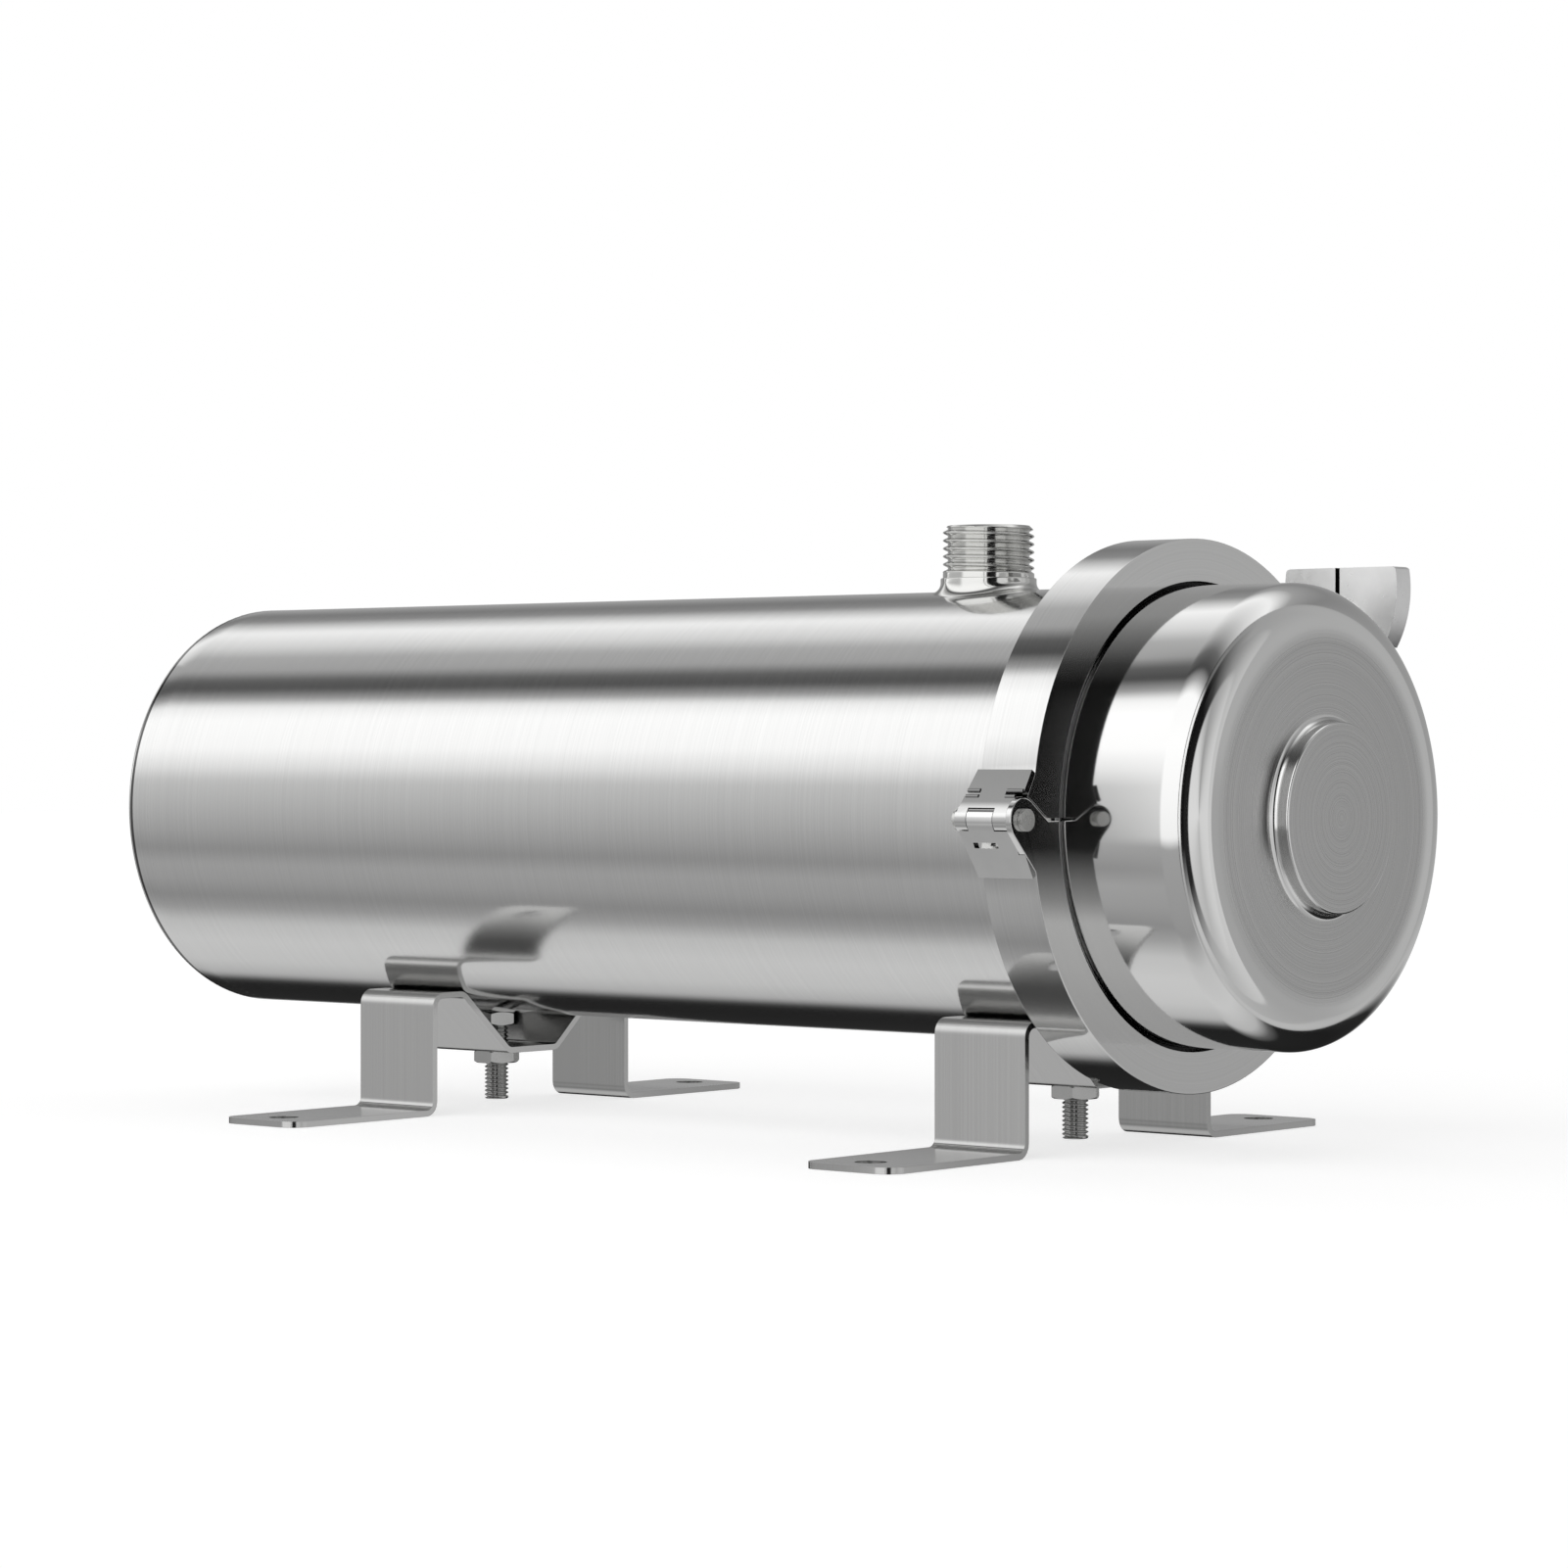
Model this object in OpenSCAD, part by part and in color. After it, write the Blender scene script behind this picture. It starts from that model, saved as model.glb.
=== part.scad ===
// Stainless steel ultrafiltration water purifier, lying on two bolted brackets.
// The tube runs along X, the removable cap is at +X and Z points up.
// The origin is on the floor, at the centre of the four foot holes.

/* [Housing] */
// Outer radius of the housing tube
tube_r = 51; // [48:0.5:56]
// Wall of the housing tube
tube_wall = 1.2; // [1:0.1:2]
// Distance from the rear bracket's middle to the rear face
rear_stand = 81.2; // [70:0.2:150]
// Distance from the front bracket's middle to the sealing plane in the clamp
clamp_stand = 26.85; // [25:0.05:90]
// Room between the tube and the floor
floor_room = 23.6; // [23.2:0.1:40]
// Plate of the rear head
head_wall = 1.5; // [1:0.1:3]
// Outside corner radius of the rear head
head_corner_r = 1.8; // [0.8:0.1:3]
// Length of the rear head's skirt, up to the seam with the tube
head_skirt = 8; // [5:0.5:15]

/* [Ports] */
// Radius of the threaded part of each port, G 1/2
port_r = 10.4775; // [9.5:0.1:12]
// Length of thread on each port
port_thread = 10; // [9:0.25:16]
// Chamfer at the mouth of each port
port_chamfer = 1.6; // [0.8:0.1:2.2]
// Radius of the water way through each port
port_bore_r = 7.5; // [5:0.25:8]
// Radius of the collar under the thread
port_collar_r = 11; // [10.9:0.1:14]
// Height of the collar under the thread, at the port's own foot
port_collar_h = 5.4; // [4:0.2:10]
// Distance from the middle of the brackets to the inlet port
inlet_x = 65.4; // [40:1:80]
// Reach of the weld fillet round each port
weld_reach = 2.2; // [1:0.1:3]
// Distance of the flush port's axis from the rim of the rear head
flush_inset = 18; // [16:0.5:19]

/* [End cap] */
// Distance from the sealing plane to the flat face of the cap
cap_reach = 40.25; // [36:0.5:70]
// Wall of the pressed cap
cap_wall = 1.5; // [1:0.1:2.5]
// Outside corner radius of the cap
cap_corner_r = 9; // [5:0.5:12]
// Radius of the raised boss, at its top
boss_r = 20.8; // [15:0.5:26]
// Height of the raised boss
boss_h = 4; // [2:0.5:6]
// How far the foot of the boss spreads
boss_flare = 2.3; // [1.6:0.1:4]

/* [Clamp joint] */
// How far the flanges reach beyond the tube
flange_reach = 8.5; // [7:0.5:12]
// Thickness of a flange at its root
flange_t = 4.5; // [4:0.25:7]
// Taper of the back of a flange in degrees
flange_taper = 18; // [8:1:20]
// Thickness of the gasket between the flanges
gasket_t = 2; // [1.5:0.25:4]
// Sheet thickness of the clamp
clamp_t = 1.5; // [1.2:0.1:2.2]
// Radial play between a flange and the clamp band
clamp_play = 0.3; // [0.2:0.05:0.6]
// Play between a flange and each clamp lip
lip_play = 0.15; // [0.1:0.05:0.4]
// Gap between the tube and the inner edge of the lips
lip_gap = 0.9; // [0.5:0.1:1.6]
// Gap between the two clamp halves
split_gap = 0.6; // [0.4:0.1:1.2]

/* [Clamp hinge] */
// Radius of the hinge pin
hinge_pin_r = 1.5; // [1.2:0.1:2]
// Running clearance between a pin and what turns on it
pin_play = 0.05; // [0.03:0.01:0.08]
// Sheet thickness of the rolled hinge leaves
leaf_t = 1.5; // [1.2:0.1:2]
// Height of the upper leaf above the pin
upper_leaf_h = 10.6; // [9:0.2:16]
// Height of the lower leaf below the pin
lower_leaf_h = 12.4; // [10:0.2:16]
// How far the barrel stands behind the clamp
barrel_overhang = 1.9; // [1:0.1:4]
// Length of the rear knuckle
rear_knuckle = 3; // [2:0.1:3.5]
// Length of the middle knuckle
middle_knuckle = 6.8; // [5:0.1:6.9]
// Length of the front knuckle
front_knuckle = 4.2; // [3:0.1:4.2]
// Gap between two knuckles
knuckle_gap = 0.15; // [0.1:0.05:0.3]
// Radius of the ear of the lower half round the pin
ear_r = 4.7; // [4.2:0.1:5.4]

/* [Latch] */
// Radius of the swing bolt, M8
bolt_r = 4; // [3.4:0.1:4.4]
// Distance from the clamp band to the bolt axis
bolt_stand = 8.1; // [7.8:0.1:10]
// Distance of the bolt's pivot below the split
pivot_drop = 12; // [11:0.5:16]
// Radius of the bolt's pivot pin
pivot_pin_r = 3; // [2:0.1:3.6]
// Radius of the bolt's eye
eye_r = 6.5; // [5.6:0.1:6.8]
// Side play of the eye between its ears
eye_play = 0.2; // [0.1:0.05:0.4]
// Height of the nut seat above the split
seat_h = 26; // [20:1:30]
// Thickness of the nut seat
seat_t = 2; // [1.5:0.25:3]
// Gap between the nut seat and the washer
seat_gap = 0.12; // [0.1:0.02:0.3]
// Side clearance of the bolt in the seat's slot
slot_play = 0.6; // [0.4:0.1:1]
// How far the fork of the seat reaches past the bolt axis
fork_reach = 2; // [1:0.2:2.4]
// Radius of the washer under the nut
washer_r = 8; // [7.2:0.1:8.5]
// Thickness of the washer under the nut
washer_t = 1.6; // [1:0.2:2.4]

/* [Wing nut] */
// Radius of the nut's hub
hub_r = 6.5; // [5.8:0.1:7]
// Height of the hub above the washer
hub_h = 20; // [18:0.5:26]
// Height of the taper on top of the hub
hub_taper_h = 3.2; // [2:0.2:4]
// Half of the span over the wings
wing_reach = 15.4; // [13:0.1:18]
// How much further one wing reaches than the middle
wing_offset = 0.8; // [0:0.1:1.5]
// Thickness of the wings
wing_t = 6; // [4:0.2:7]
// Height of the wings above the hub
wing_rise = 6.1; // [4:0.1:9]
// How far the wing tips hang below the top of the hub
wing_hang = 12.6; // [8:0.2:14]
// Width of the slit between the wings
slit_w = 1; // [0.6:0.1:1.6]

/* [Brackets] */
// Distance between the two brackets along the tube
bracket_pitch = 180; // [170:1:185]
// Width of the bracket strip
bracket_w = 25; // [18:1:32]
// Sheet thickness of the brackets
bracket_t = 1.5; // [1.2:0.1:2.2]
// Inside bend radius of the brackets
bend_r = 2; // [1:0.1:2.5]
// Distance from the middle to the outer face of each leg
leg_y = 35.5; // [34:0.5:45]
// Distance from the middle to the end of each foot
foot_y = 82.2; // [80:0.2:100]
// Distance from the middle to each foot hole
hole_y = 73.5; // [68:0.5:76]
// Radius of the foot holes
hole_r = 3.5; // [2.5:0.25:5]
// Corner radius at the end of each foot
foot_corner_r = 4.5; // [2:0.5:8]
// Distance of the web's underside below the tube
web_room = 9.7; // [8:0.1:11]
// Distance from the middle to the bend that carries the tube
saddle_y = 25.8; // [24:0.2:27]
// Slope of the cradle in degrees
cradle_slope = 42; // [38:1:48]
// Radius of the mounting studs, M6
stud_r = 3; // [2.5:0.1:3.4]
// Reach of the studs below the web
stud_reach = 12.3; // [8:0.1:13]
// Width across the flats of the stud's nuts
nut_flats = 10.2; // [9:0.1:12]
// Height of the nut that clamps the bracket
nut_h = 3.2; // [2.4:0.2:5]
// Height of the hexagon welded under the tube
weld_hex_h = 3.4; // [2.5:0.1:4.5]

/* [Cartridge] */
// Outer radius of the membrane cartridge's sleeve
sleeve_r = 40; // [36:0.5:42]
// Wall of the sleeve
sleeve_wall = 2.5; // [1.5:0.25:4]
// Radius of the spigot that plugs into the outlet socket
spigot_r = 16; // [14:0.25:17]
// Wall of the outlet socket
socket_wall = 2; // [1.5:0.25:3]
// Length of the outlet socket
socket_len = 20; // [16:0.5:24]
// Radius of an O-ring's section
o_ring_r = 1.6; // [1.2:0.1:2]
// Length of the potted end of the fibres
potting_len = 24; // [15:1:35]
// Wall of the cartridge's end fittings
fitting_wall = 2.9; // [2:0.1:4]
// Distance from the sealing plane back to the front of the cartridge
cartridge_back = 21; // [15:1:30]
// Radius of the flow holes in the sleeve
flow_hole_r = 4; // [2.5:0.25:5]
// Distance of the last row of flow holes from the front fitting
flow_hole_inset = 12; // [8:1:20]
// Distance between the two O-rings
o_ring_pitch = 6; // [5:0.5:8]

/* [Hidden] */
$fn = 96;
// Gap left where one welded piece lies on the round of another
weld_gap = 0.05;
// Clearance of pieces that slide together inside the housing
slide_gap = 0.1;
// Extra depth of a cut past the face it opens
cut = 1;
// Number of flats that make up each bend
bend_steps = 5;

bracket_x = bracket_pitch / 2;
rear_reach = bracket_x + rear_stand;
clamp_x = bracket_x + clamp_stand;
axis_h = tube_r + floor_room;
web_drop = tube_r + web_room;
stud_drop = web_drop + stud_reach;
flush_drop = tube_r - flush_inset;
flange_r = tube_r + flange_reach;
band_r = flange_r + clamp_play;
ring_r = band_r + clamp_t;
lip_r = tube_r + lip_gap;
clamp_w = gasket_t + 2 * (flange_t + lip_play + clamp_t);
clamp_back = clamp_x - clamp_w / 2;
clamp_front = clamp_x + clamp_w / 2;
flange_edge_t = flange_t - (flange_reach - lip_gap) * tan(flange_taper);
neck_wall = tube_wall + 0.8;
neck_len = 2.9;
tube_back = -rear_reach + head_skirt;
tube_front = clamp_x - gasket_t / 2 - flange_t - neck_len;
cap_face = clamp_x + cap_reach;
cap_root = clamp_x + gasket_t / 2 + flange_t + 0.9;

inlet_top = tube_r - 0.5 + port_collar_h + port_thread;
port_len = port_collar_h + port_thread;

barrel_r = hinge_pin_r + pin_play + leaf_t;
hinge_y = -(ring_r + weld_gap + barrel_r);
barrel_back = clamp_back - barrel_overhang;
middle_back = barrel_back + rear_knuckle + knuckle_gap;
front_back = middle_back + middle_knuckle + knuckle_gap;
barrel_front = front_back + front_knuckle;
rivet_r = hinge_pin_r + 0.9;
rivet_h = 1;
turn_gap = 0.2;
notch_h = 1.2;
notch_z = 5.5;
rear_notch = 4.8;
front_notch = 1.4;
tongue_r = 0.5;
leaf_root_r = ring_r + weld_gap + 0.8 * leaf_t;
ear_foot = [9.1, -0.67];
ear_low_z = -11;

bolt_y = ring_r + bolt_stand;
pivot_z = -pivot_drop;
latch_in = clamp_w / 2 - clamp_t;
eye_w = 2 * (latch_in - eye_play);
fork_y = bolt_y + fork_reach;
washer_z = seat_h + seat_gap;
hub_z = washer_z + washer_t;
hub_top = hub_z + hub_h + hub_taper_h;
bolt_top = hub_z + hub_h - 3;
wing_top = hub_top + wing_rise;
wing_tip = hub_top - wing_hang;

arc_r = bend_r + bracket_t;
cradle_gap = 0.1;
saddle_z = -sqrt(pow(tube_r + cradle_gap + arc_r, 2) - pow(saddle_y, 2));
slant_rise = saddle_z + web_drop - arc_r * (1 - cos(cradle_slope)) + bend_r * cos(cradle_slope);
slant_len = slant_rise / sin(cradle_slope);
web_half = saddle_y - (arc_r + bend_r) * sin(cradle_slope) - slant_len * cos(cradle_slope);
shelf_len = leg_y - arc_r - saddle_y;
leg_len = saddle_z + axis_h - arc_r;

bore_r = tube_r - tube_wall;
head_in = -rear_reach + head_wall;
socket_r = spigot_r + slide_gap;
collector_back = head_in + socket_len + 2;
spigot_back = head_in + 2;
fitting_r = sleeve_r + slide_gap + fitting_wall;
collector_plate = 5;
fitting_skirt = 20;
sleeve_back = collector_back + collector_plate + slide_gap;
grip_front = clamp_x - cartridge_back;
sleeve_front = grip_front - collector_plate - slide_gap;
fibre_r = sleeve_r - sleeve_wall - 1;
buffer_front = cap_face + boss_h - cap_wall - slide_gap;
buffer_len = 9;
grip_stem_r = 9;
flush_hole_r = 5;
centring_x = grip_front - collector_plate - fitting_skirt / 2;
centring_w = 8;
o_ring_inset = 4;
cheek_rise = 10;

// Puts the children in the frame of the tube axis
module on_axis() {
    translate([0, 0, axis_h]) children();
}

// Turns children made along Z so that they run along X
module along_x() {
    rotate([0, 90, 0]) children();
}

// A flat outline drawn in Y and Z, given a thickness from x0 to x1
module slab_x(x0, x1) {
    translate([x0, 0, 0]) rotate([90, 0, 90]) linear_extrude(x1 - x0) children();
}

// A rod along X at y, z
module rod_x(x0, x1, r, y = 0, z = 0) {
    translate([x0, y, z]) along_x() cylinder(h = x1 - x0, r = r);
}

// Half plane above the split, as an outline in Y and Z
module above_split(side) {
    reach = 2 * ring_r;
    translate([-reach, side > 0 ? split_gap / 2 : -split_gap / 2 - reach]) square([2 * reach, reach]);
}

// A quarter round fillet outline, standing in the corner at r, z
module fillet_outline(r, z, size) {
    difference() {
        translate([r, z]) square([size, size]);
        translate([r + size, z + size]) circle(r = size);
    }
}

// Housing

module housing_tube() {
    color("gainsboro") on_axis() difference() {
        rod_x(tube_back, tube_front, tube_r);
        rod_x(tube_back - cut, tube_front + cut, bore_r);
        translate([inlet_x, 0, 0]) cylinder(h = tube_r + cut, r = port_bore_r);
    }
}

// Outline of a pressed end plate in radius and height: skirt, round corner and flat face
module plate_outline(face, skirt, outer, wall, corner) {
    difference() {
        union() {
            square([outer - corner, face]);
            square([outer, face - corner]);
            translate([outer - corner, face - corner]) circle(r = corner);
        }
        inner = max(corner - wall, 0.1);
        translate([-cut, -cut]) square([outer - wall - inner + cut, face - wall + cut]);
        translate([-cut, -cut]) square([outer - wall + cut, face - wall - inner + cut]);
        translate([outer - wall - inner, face - wall - inner]) circle(r = inner);
        translate([-cut, -cut]) square([outer + 2 * cut, face - skirt + cut]);
        translate([-outer - cut, -cut]) square([outer + cut, face + 2 * cut]);
    }
}

module rear_head() {
    color("gainsboro") on_axis() difference() {
        translate([-rear_reach + head_skirt, 0, 0]) rotate([0, -90, 0])
            rotate_extrude() plate_outline(head_skirt, head_skirt, tube_r, head_wall, head_corner_r);
        rod_x(-rear_reach - cut, tube_back, port_bore_r);
        rod_x(-rear_reach - cut, tube_back, port_bore_r, 0, -flush_drop);
    }
}

// Outline of a ferrule in radius and distance from its sealing face
module ferrule_outline(neck) {
    groove_r = 1.2;
    difference() {
        polygon([
            [tube_r - neck_wall, 0],
            [flange_r, 0],
            [flange_r, flange_edge_t],
            [lip_r, flange_t],
            [tube_r, flange_t],
            [tube_r, flange_t + neck],
            [tube_r - neck_wall, flange_t + neck]
        ]);
        translate([tube_r + flange_reach / 2, 0]) circle(r = groove_r);
    }
}

module housing_ferrule() {
    color("silver") on_axis() translate([clamp_x - gasket_t / 2, 0, 0]) rotate([0, -90, 0])
        rotate_extrude() ferrule_outline(neck_len);
}

module cap_ferrule() {
    color("silver") on_axis() translate([clamp_x + gasket_t / 2, 0, 0]) along_x()
        rotate_extrude() ferrule_outline(cap_root - clamp_x - gasket_t / 2 - flange_t);
}

module clamp_gasket() {
    bead_r = 1.1;
    color("whitesmoke") on_axis() translate([clamp_x, 0, 0]) along_x() rotate_extrude() union() {
        translate([tube_r - neck_wall, -gasket_t / 2]) square([flange_reach - 1 + neck_wall, gasket_t]);
        translate([tube_r + flange_reach / 2, gasket_t / 2]) circle(r = bead_r);
        translate([tube_r + flange_reach / 2, -gasket_t / 2]) circle(r = bead_r);
    }
}

module end_cap() {
    boss_rim = 1;
    foot_r = boss_r + boss_flare;
    root = cap_face - cap_root;
    color("silver") on_axis() translate([cap_root, 0, 0]) along_x() rotate_extrude() difference() {
        union() {
            plate_outline(root, root, tube_r, cap_wall, cap_corner_r);
            square([foot_r, root + boss_flare]);
            square([boss_r - boss_rim, root + boss_h]);
            square([boss_r, root + boss_h - boss_rim]);
            translate([boss_r - boss_rim, root + boss_h - boss_rim]) circle(r = boss_rim);
        }
        translate([foot_r, root + boss_flare]) circle(r = boss_flare);
        translate([-cut, -cut]) square([boss_r - cap_wall + cut, root + boss_h - cap_wall + cut]);
        translate([-boss_r - cut, -cut]) square([boss_r + cut, root + boss_h + 2 * cut]);
        translate([-cut, -cut]) square([tube_r - cap_wall - cap_corner_r + cut, root - cap_wall + cut]);
    }
}

// Ports: each stands along Z on its own foot, at height 0

module port_body(sink) {
    color("lightgray") rotate_extrude() union() {
        difference() {
            union() {
                translate([port_bore_r, -sink])
                    square([port_collar_r - port_bore_r, port_collar_h - 2 + sink]);
                translate([port_bore_r, 0]) square([port_r - port_bore_r, port_len - port_chamfer]);
                translate([port_bore_r, 0]) square([port_r - port_chamfer - port_bore_r, port_len]);
            }
            translate([0, -sink - cut]) square([port_bore_r, port_len + sink + 2 * cut]);
        }
        polygon([
            [port_r - port_chamfer, port_len - port_chamfer],
            [port_r, port_len - port_chamfer],
            [port_r - port_chamfer, port_len]
        ]);
    }
}

module inlet_port() {
    fillet_z = -0.5;
    sink = tube_r - sqrt(pow(tube_r, 2) - pow(port_collar_r + weld_reach, 2)) + 1;
    color("lightgray") on_axis() difference() {
        translate([inlet_x, 0, tube_r - 0.5]) union() {
            port_body(sink);
            rotate_extrude() union() {
                translate([port_bore_r + cut, -sink])
                    square([port_collar_r + weld_reach - port_bore_r - cut, sink + fillet_z]);
                fillet_outline(port_collar_r, fillet_z, weld_reach);
            }
        }
        rod_x(inlet_x - 2 * port_collar_r, inlet_x + 2 * port_collar_r, tube_r + weld_gap);
    }
}

// A port on the rear head, with its weld fillet
module rear_port(z) {
    on_axis() translate([-rear_reach, 0, z]) rotate([0, -90, 0]) union() {
        port_body(0);
        color("lightgray") rotate_extrude() fillet_outline(port_collar_r, 0, weld_reach);
    }
}

module outlet_port() {
    color("lightgray") rear_port(0);
}

module flush_port() {
    color("lightgray") rear_port(-flush_drop);
}

// Clamp halves: a band with two lips

// Outline of the band, of a lip and of the hinge ear, in Y and Z
module band_outline() {
    difference() {
        circle(r = ring_r);
        circle(r = band_r);
    }
}

module lip_outline() {
    difference() {
        circle(r = ring_r);
        circle(r = lip_r);
    }
}

// Where a line from p touches a circle of radius r round the centre
function tangent_point(p, r, side) = let(d = norm(p), a = atan2(p[1], p[0]) + side * acos(r / d))
    [r * cos(a), r * sin(a)];

module ear_outline(grow) {
    ring_foot = [-sqrt(pow(ring_r, 2) - pow(ear_low_z, 2)) - hinge_y, ear_low_z];
    translate([hinge_y, 0]) union() {
        circle(r = ear_r + grow);
        polygon([
            tangent_point(ear_foot + [grow, grow], ear_r + grow, 1),
            ear_foot + [grow, grow],
            [ear_foot[0], ear_low_z],
            ring_foot,
            tangent_point(ring_foot, ear_r + grow, -1)
        ]);
    }
}

module clamp_half(side) {
    slab_x(clamp_back, clamp_front) intersection() {
        band_outline();
        above_split(side);
    }
    for (x = [clamp_back, clamp_front - clamp_t])
        slab_x(x, x + clamp_t) intersection() {
            lip_outline();
            above_split(side);
        }
}

module clamp_upper() {
    color("lightgray") on_axis() difference() {
        union() {
            clamp_half(1);
            slab_x(clamp_front - clamp_t, clamp_front) intersection() {
                leaf_web(1, upper_leaf_h);
                above_split(1);
            }
        }
        rod_x(clamp_back - cut, clamp_front + cut, barrel_r + turn_gap, hinge_y);
        slab_x(clamp_front - clamp_t - turn_gap, clamp_front + cut) ear_outline(turn_gap);
    }
}

module clamp_lower() {
    color("lightgray") on_axis() difference() {
        union() {
            difference() {
                clamp_half(-1);
                rod_x(clamp_back - cut, clamp_front - clamp_t, barrel_r + turn_gap, hinge_y);
            }
            slab_x(clamp_front - clamp_t, clamp_front) difference() {
                ear_outline(0);
                circle(r = lip_r);
            }
        }
        rod_x(clamp_back - cut, clamp_front + cut, hinge_pin_r + pin_play, hinge_y);
    }
}

// Hinge leaves: a curved plate on the band with rolled knuckles

// Where the outer face of a leaf starts on the ring and where it meets the barrel, from the pin's axis
function leaf_root(side, height) = [-sqrt(pow(leaf_root_r, 2) - pow(height, 2)) - hinge_y, side * height];
function leaf_meet(side, height) = tangent_point(leaf_root(side, height), barrel_r, side);
// The step from a leaf's outer face to a parallel face at some depth
function leaf_step(side, height, depth) = -leaf_meet(side, height) * depth / barrel_r;
// Distance of a leaf's outer face from the pin's axis along Y, at height z
function leaf_face(side, height, z) = let(a = leaf_root(side, height), b = leaf_meet(side, height))
    b[0] + (z - b[1]) * (a[0] - b[0]) / (a[1] - b[1]);

module leaf_plate(side, height) {
    a = leaf_root(side, height);
    b = leaf_meet(side, height);
    step = leaf_step(side, height, leaf_t);
    intersection() {
        slab_x(barrel_back, clamp_front) difference() {
            translate([hinge_y, 0]) polygon([a, b, b + step, a + step]);
            circle(r = ring_r + weld_gap);
        }
        translate([0, hinge_y + 2 * barrel_r, 0]) rotate([90, 0, 0]) linear_extrude(4 * barrel_r) polygon([
            [barrel_back, 0],
            [clamp_front, 0],
            [clamp_front, side * height],
            [clamp_back, side * height]
        ]);
    }
}

// Web between the front lip and the underside of a leaf
module leaf_web(side, height) {
    step = leaf_step(side, height, leaf_t + weld_gap);
    translate([hinge_y, 0]) polygon([
        leaf_root(side, height) + step,
        leaf_meet(side, height) + step,
        [0, 0],
        [2 * barrel_r, 0],
        [2 * barrel_r, side * height]
    ]);
}

module notch(x0, x1, z) {
    translate([x0, hinge_y - barrel_r, z - notch_h / 2]) cube([x1 - x0, 3 * barrel_r, notch_h]);
}

// Rolled edges of a notch in the upper leaf
module tongues(x0, x1, low_x1) {
    for (side = [-1, 1]) {
        z = notch_z + side * notch_h / 2;
        y = hinge_y + leaf_face(1, upper_leaf_h, z) + tongue_r / 2;
        rod_x(x0, side > 0 ? x1 : low_x1, tongue_r, y, z);
    }
}

module upper_hinge_leaf() {
    color("lightgray") on_axis() union() {
        difference() {
            union() {
                leaf_plate(1, upper_leaf_h);
                rod_x(barrel_back, barrel_back + rear_knuckle, barrel_r, hinge_y);
                rod_x(front_back, barrel_front, barrel_r, hinge_y);
            }
            rod_x(barrel_back - cut, clamp_front + cut, hinge_pin_r + pin_play, hinge_y);
            rod_x(middle_back - knuckle_gap, front_back, barrel_r + turn_gap, hinge_y);
            rod_x(barrel_front, clamp_front + cut, barrel_r + turn_gap, hinge_y);
            slab_x(clamp_front - clamp_t - turn_gap, clamp_front + cut) ear_outline(turn_gap);
            notch(barrel_back - cut, barrel_back + rear_notch, notch_z);
            notch(front_back + front_notch, clamp_front + cut, notch_z);
        }
        tongues(barrel_back + 1.3, barrel_back + rear_notch - 0.2, barrel_back + rear_notch - 0.2);
        tongues(front_back + front_notch + 0.2, clamp_front - 0.3, clamp_front - clamp_t - turn_gap - 0.2);
    }
}

module lower_hinge_leaf() {
    color("lightgray") on_axis() difference() {
        union() {
            leaf_plate(-1, lower_leaf_h);
            rod_x(middle_back, middle_back + middle_knuckle, barrel_r, hinge_y);
        }
        rod_x(barrel_back - cut, clamp_front + cut, hinge_pin_r + pin_play, hinge_y);
        rod_x(barrel_back - cut, middle_back, barrel_r + turn_gap, hinge_y);
        rod_x(front_back - knuckle_gap, clamp_front + cut, barrel_r + turn_gap, hinge_y);
        slab_x(clamp_front - clamp_t - turn_gap, clamp_front + cut) ear_outline(turn_gap);
        notch(middle_back + 0.2, middle_back + middle_knuckle - 0.2, -notch_z);
    }
}

module hinge_pin() {
    color("gray") on_axis() union() {
        rod_x(barrel_back - turn_gap, clamp_front + turn_gap, hinge_pin_r, hinge_y);
        rod_x(barrel_back - turn_gap - rivet_h, barrel_back - turn_gap, rivet_r, hinge_y);
        rod_x(clamp_front + weld_gap, clamp_front + weld_gap + rivet_h, rivet_r, hinge_y);
    }
}

// Latch: folded seat on the upper half, folded ears on the lower half, swing bolt and wing nut

module latch_cheeks() {
    for (x = [clamp_back, clamp_front - clamp_t])
        slab_x(x, x + clamp_t) difference() {
            children();
            circle(r = ring_r + weld_gap);
        }
}

module upper_latch_seat() {
    inner_y = sqrt(pow(ring_r, 2) - pow(seat_h, 2)) - 2;
    low = split_gap;
    slot_r = bolt_r + slot_play;
    color("lightgray") on_axis() difference() {
        union() {
            latch_cheeks() polygon([
                [inner_y, low],
                [ring_r + 4, low],
                [fork_y, low + cheek_rise],
                [fork_y, seat_h],
                [inner_y, seat_h]
            ]);
            slab_x(clamp_back, clamp_front) difference() {
                translate([inner_y, seat_h - seat_t]) square([fork_y - inner_y, seat_t]);
                circle(r = ring_r + weld_gap);
            }
        }
        translate([clamp_x, bolt_y, seat_h - seat_t - cut]) cylinder(h = seat_t + 2 * cut, r = slot_r);
        translate([clamp_x - slot_r, bolt_y, seat_h - seat_t - cut])
            cube([2 * slot_r, fork_reach + cut, seat_t + 2 * cut]);
    }
}

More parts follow.
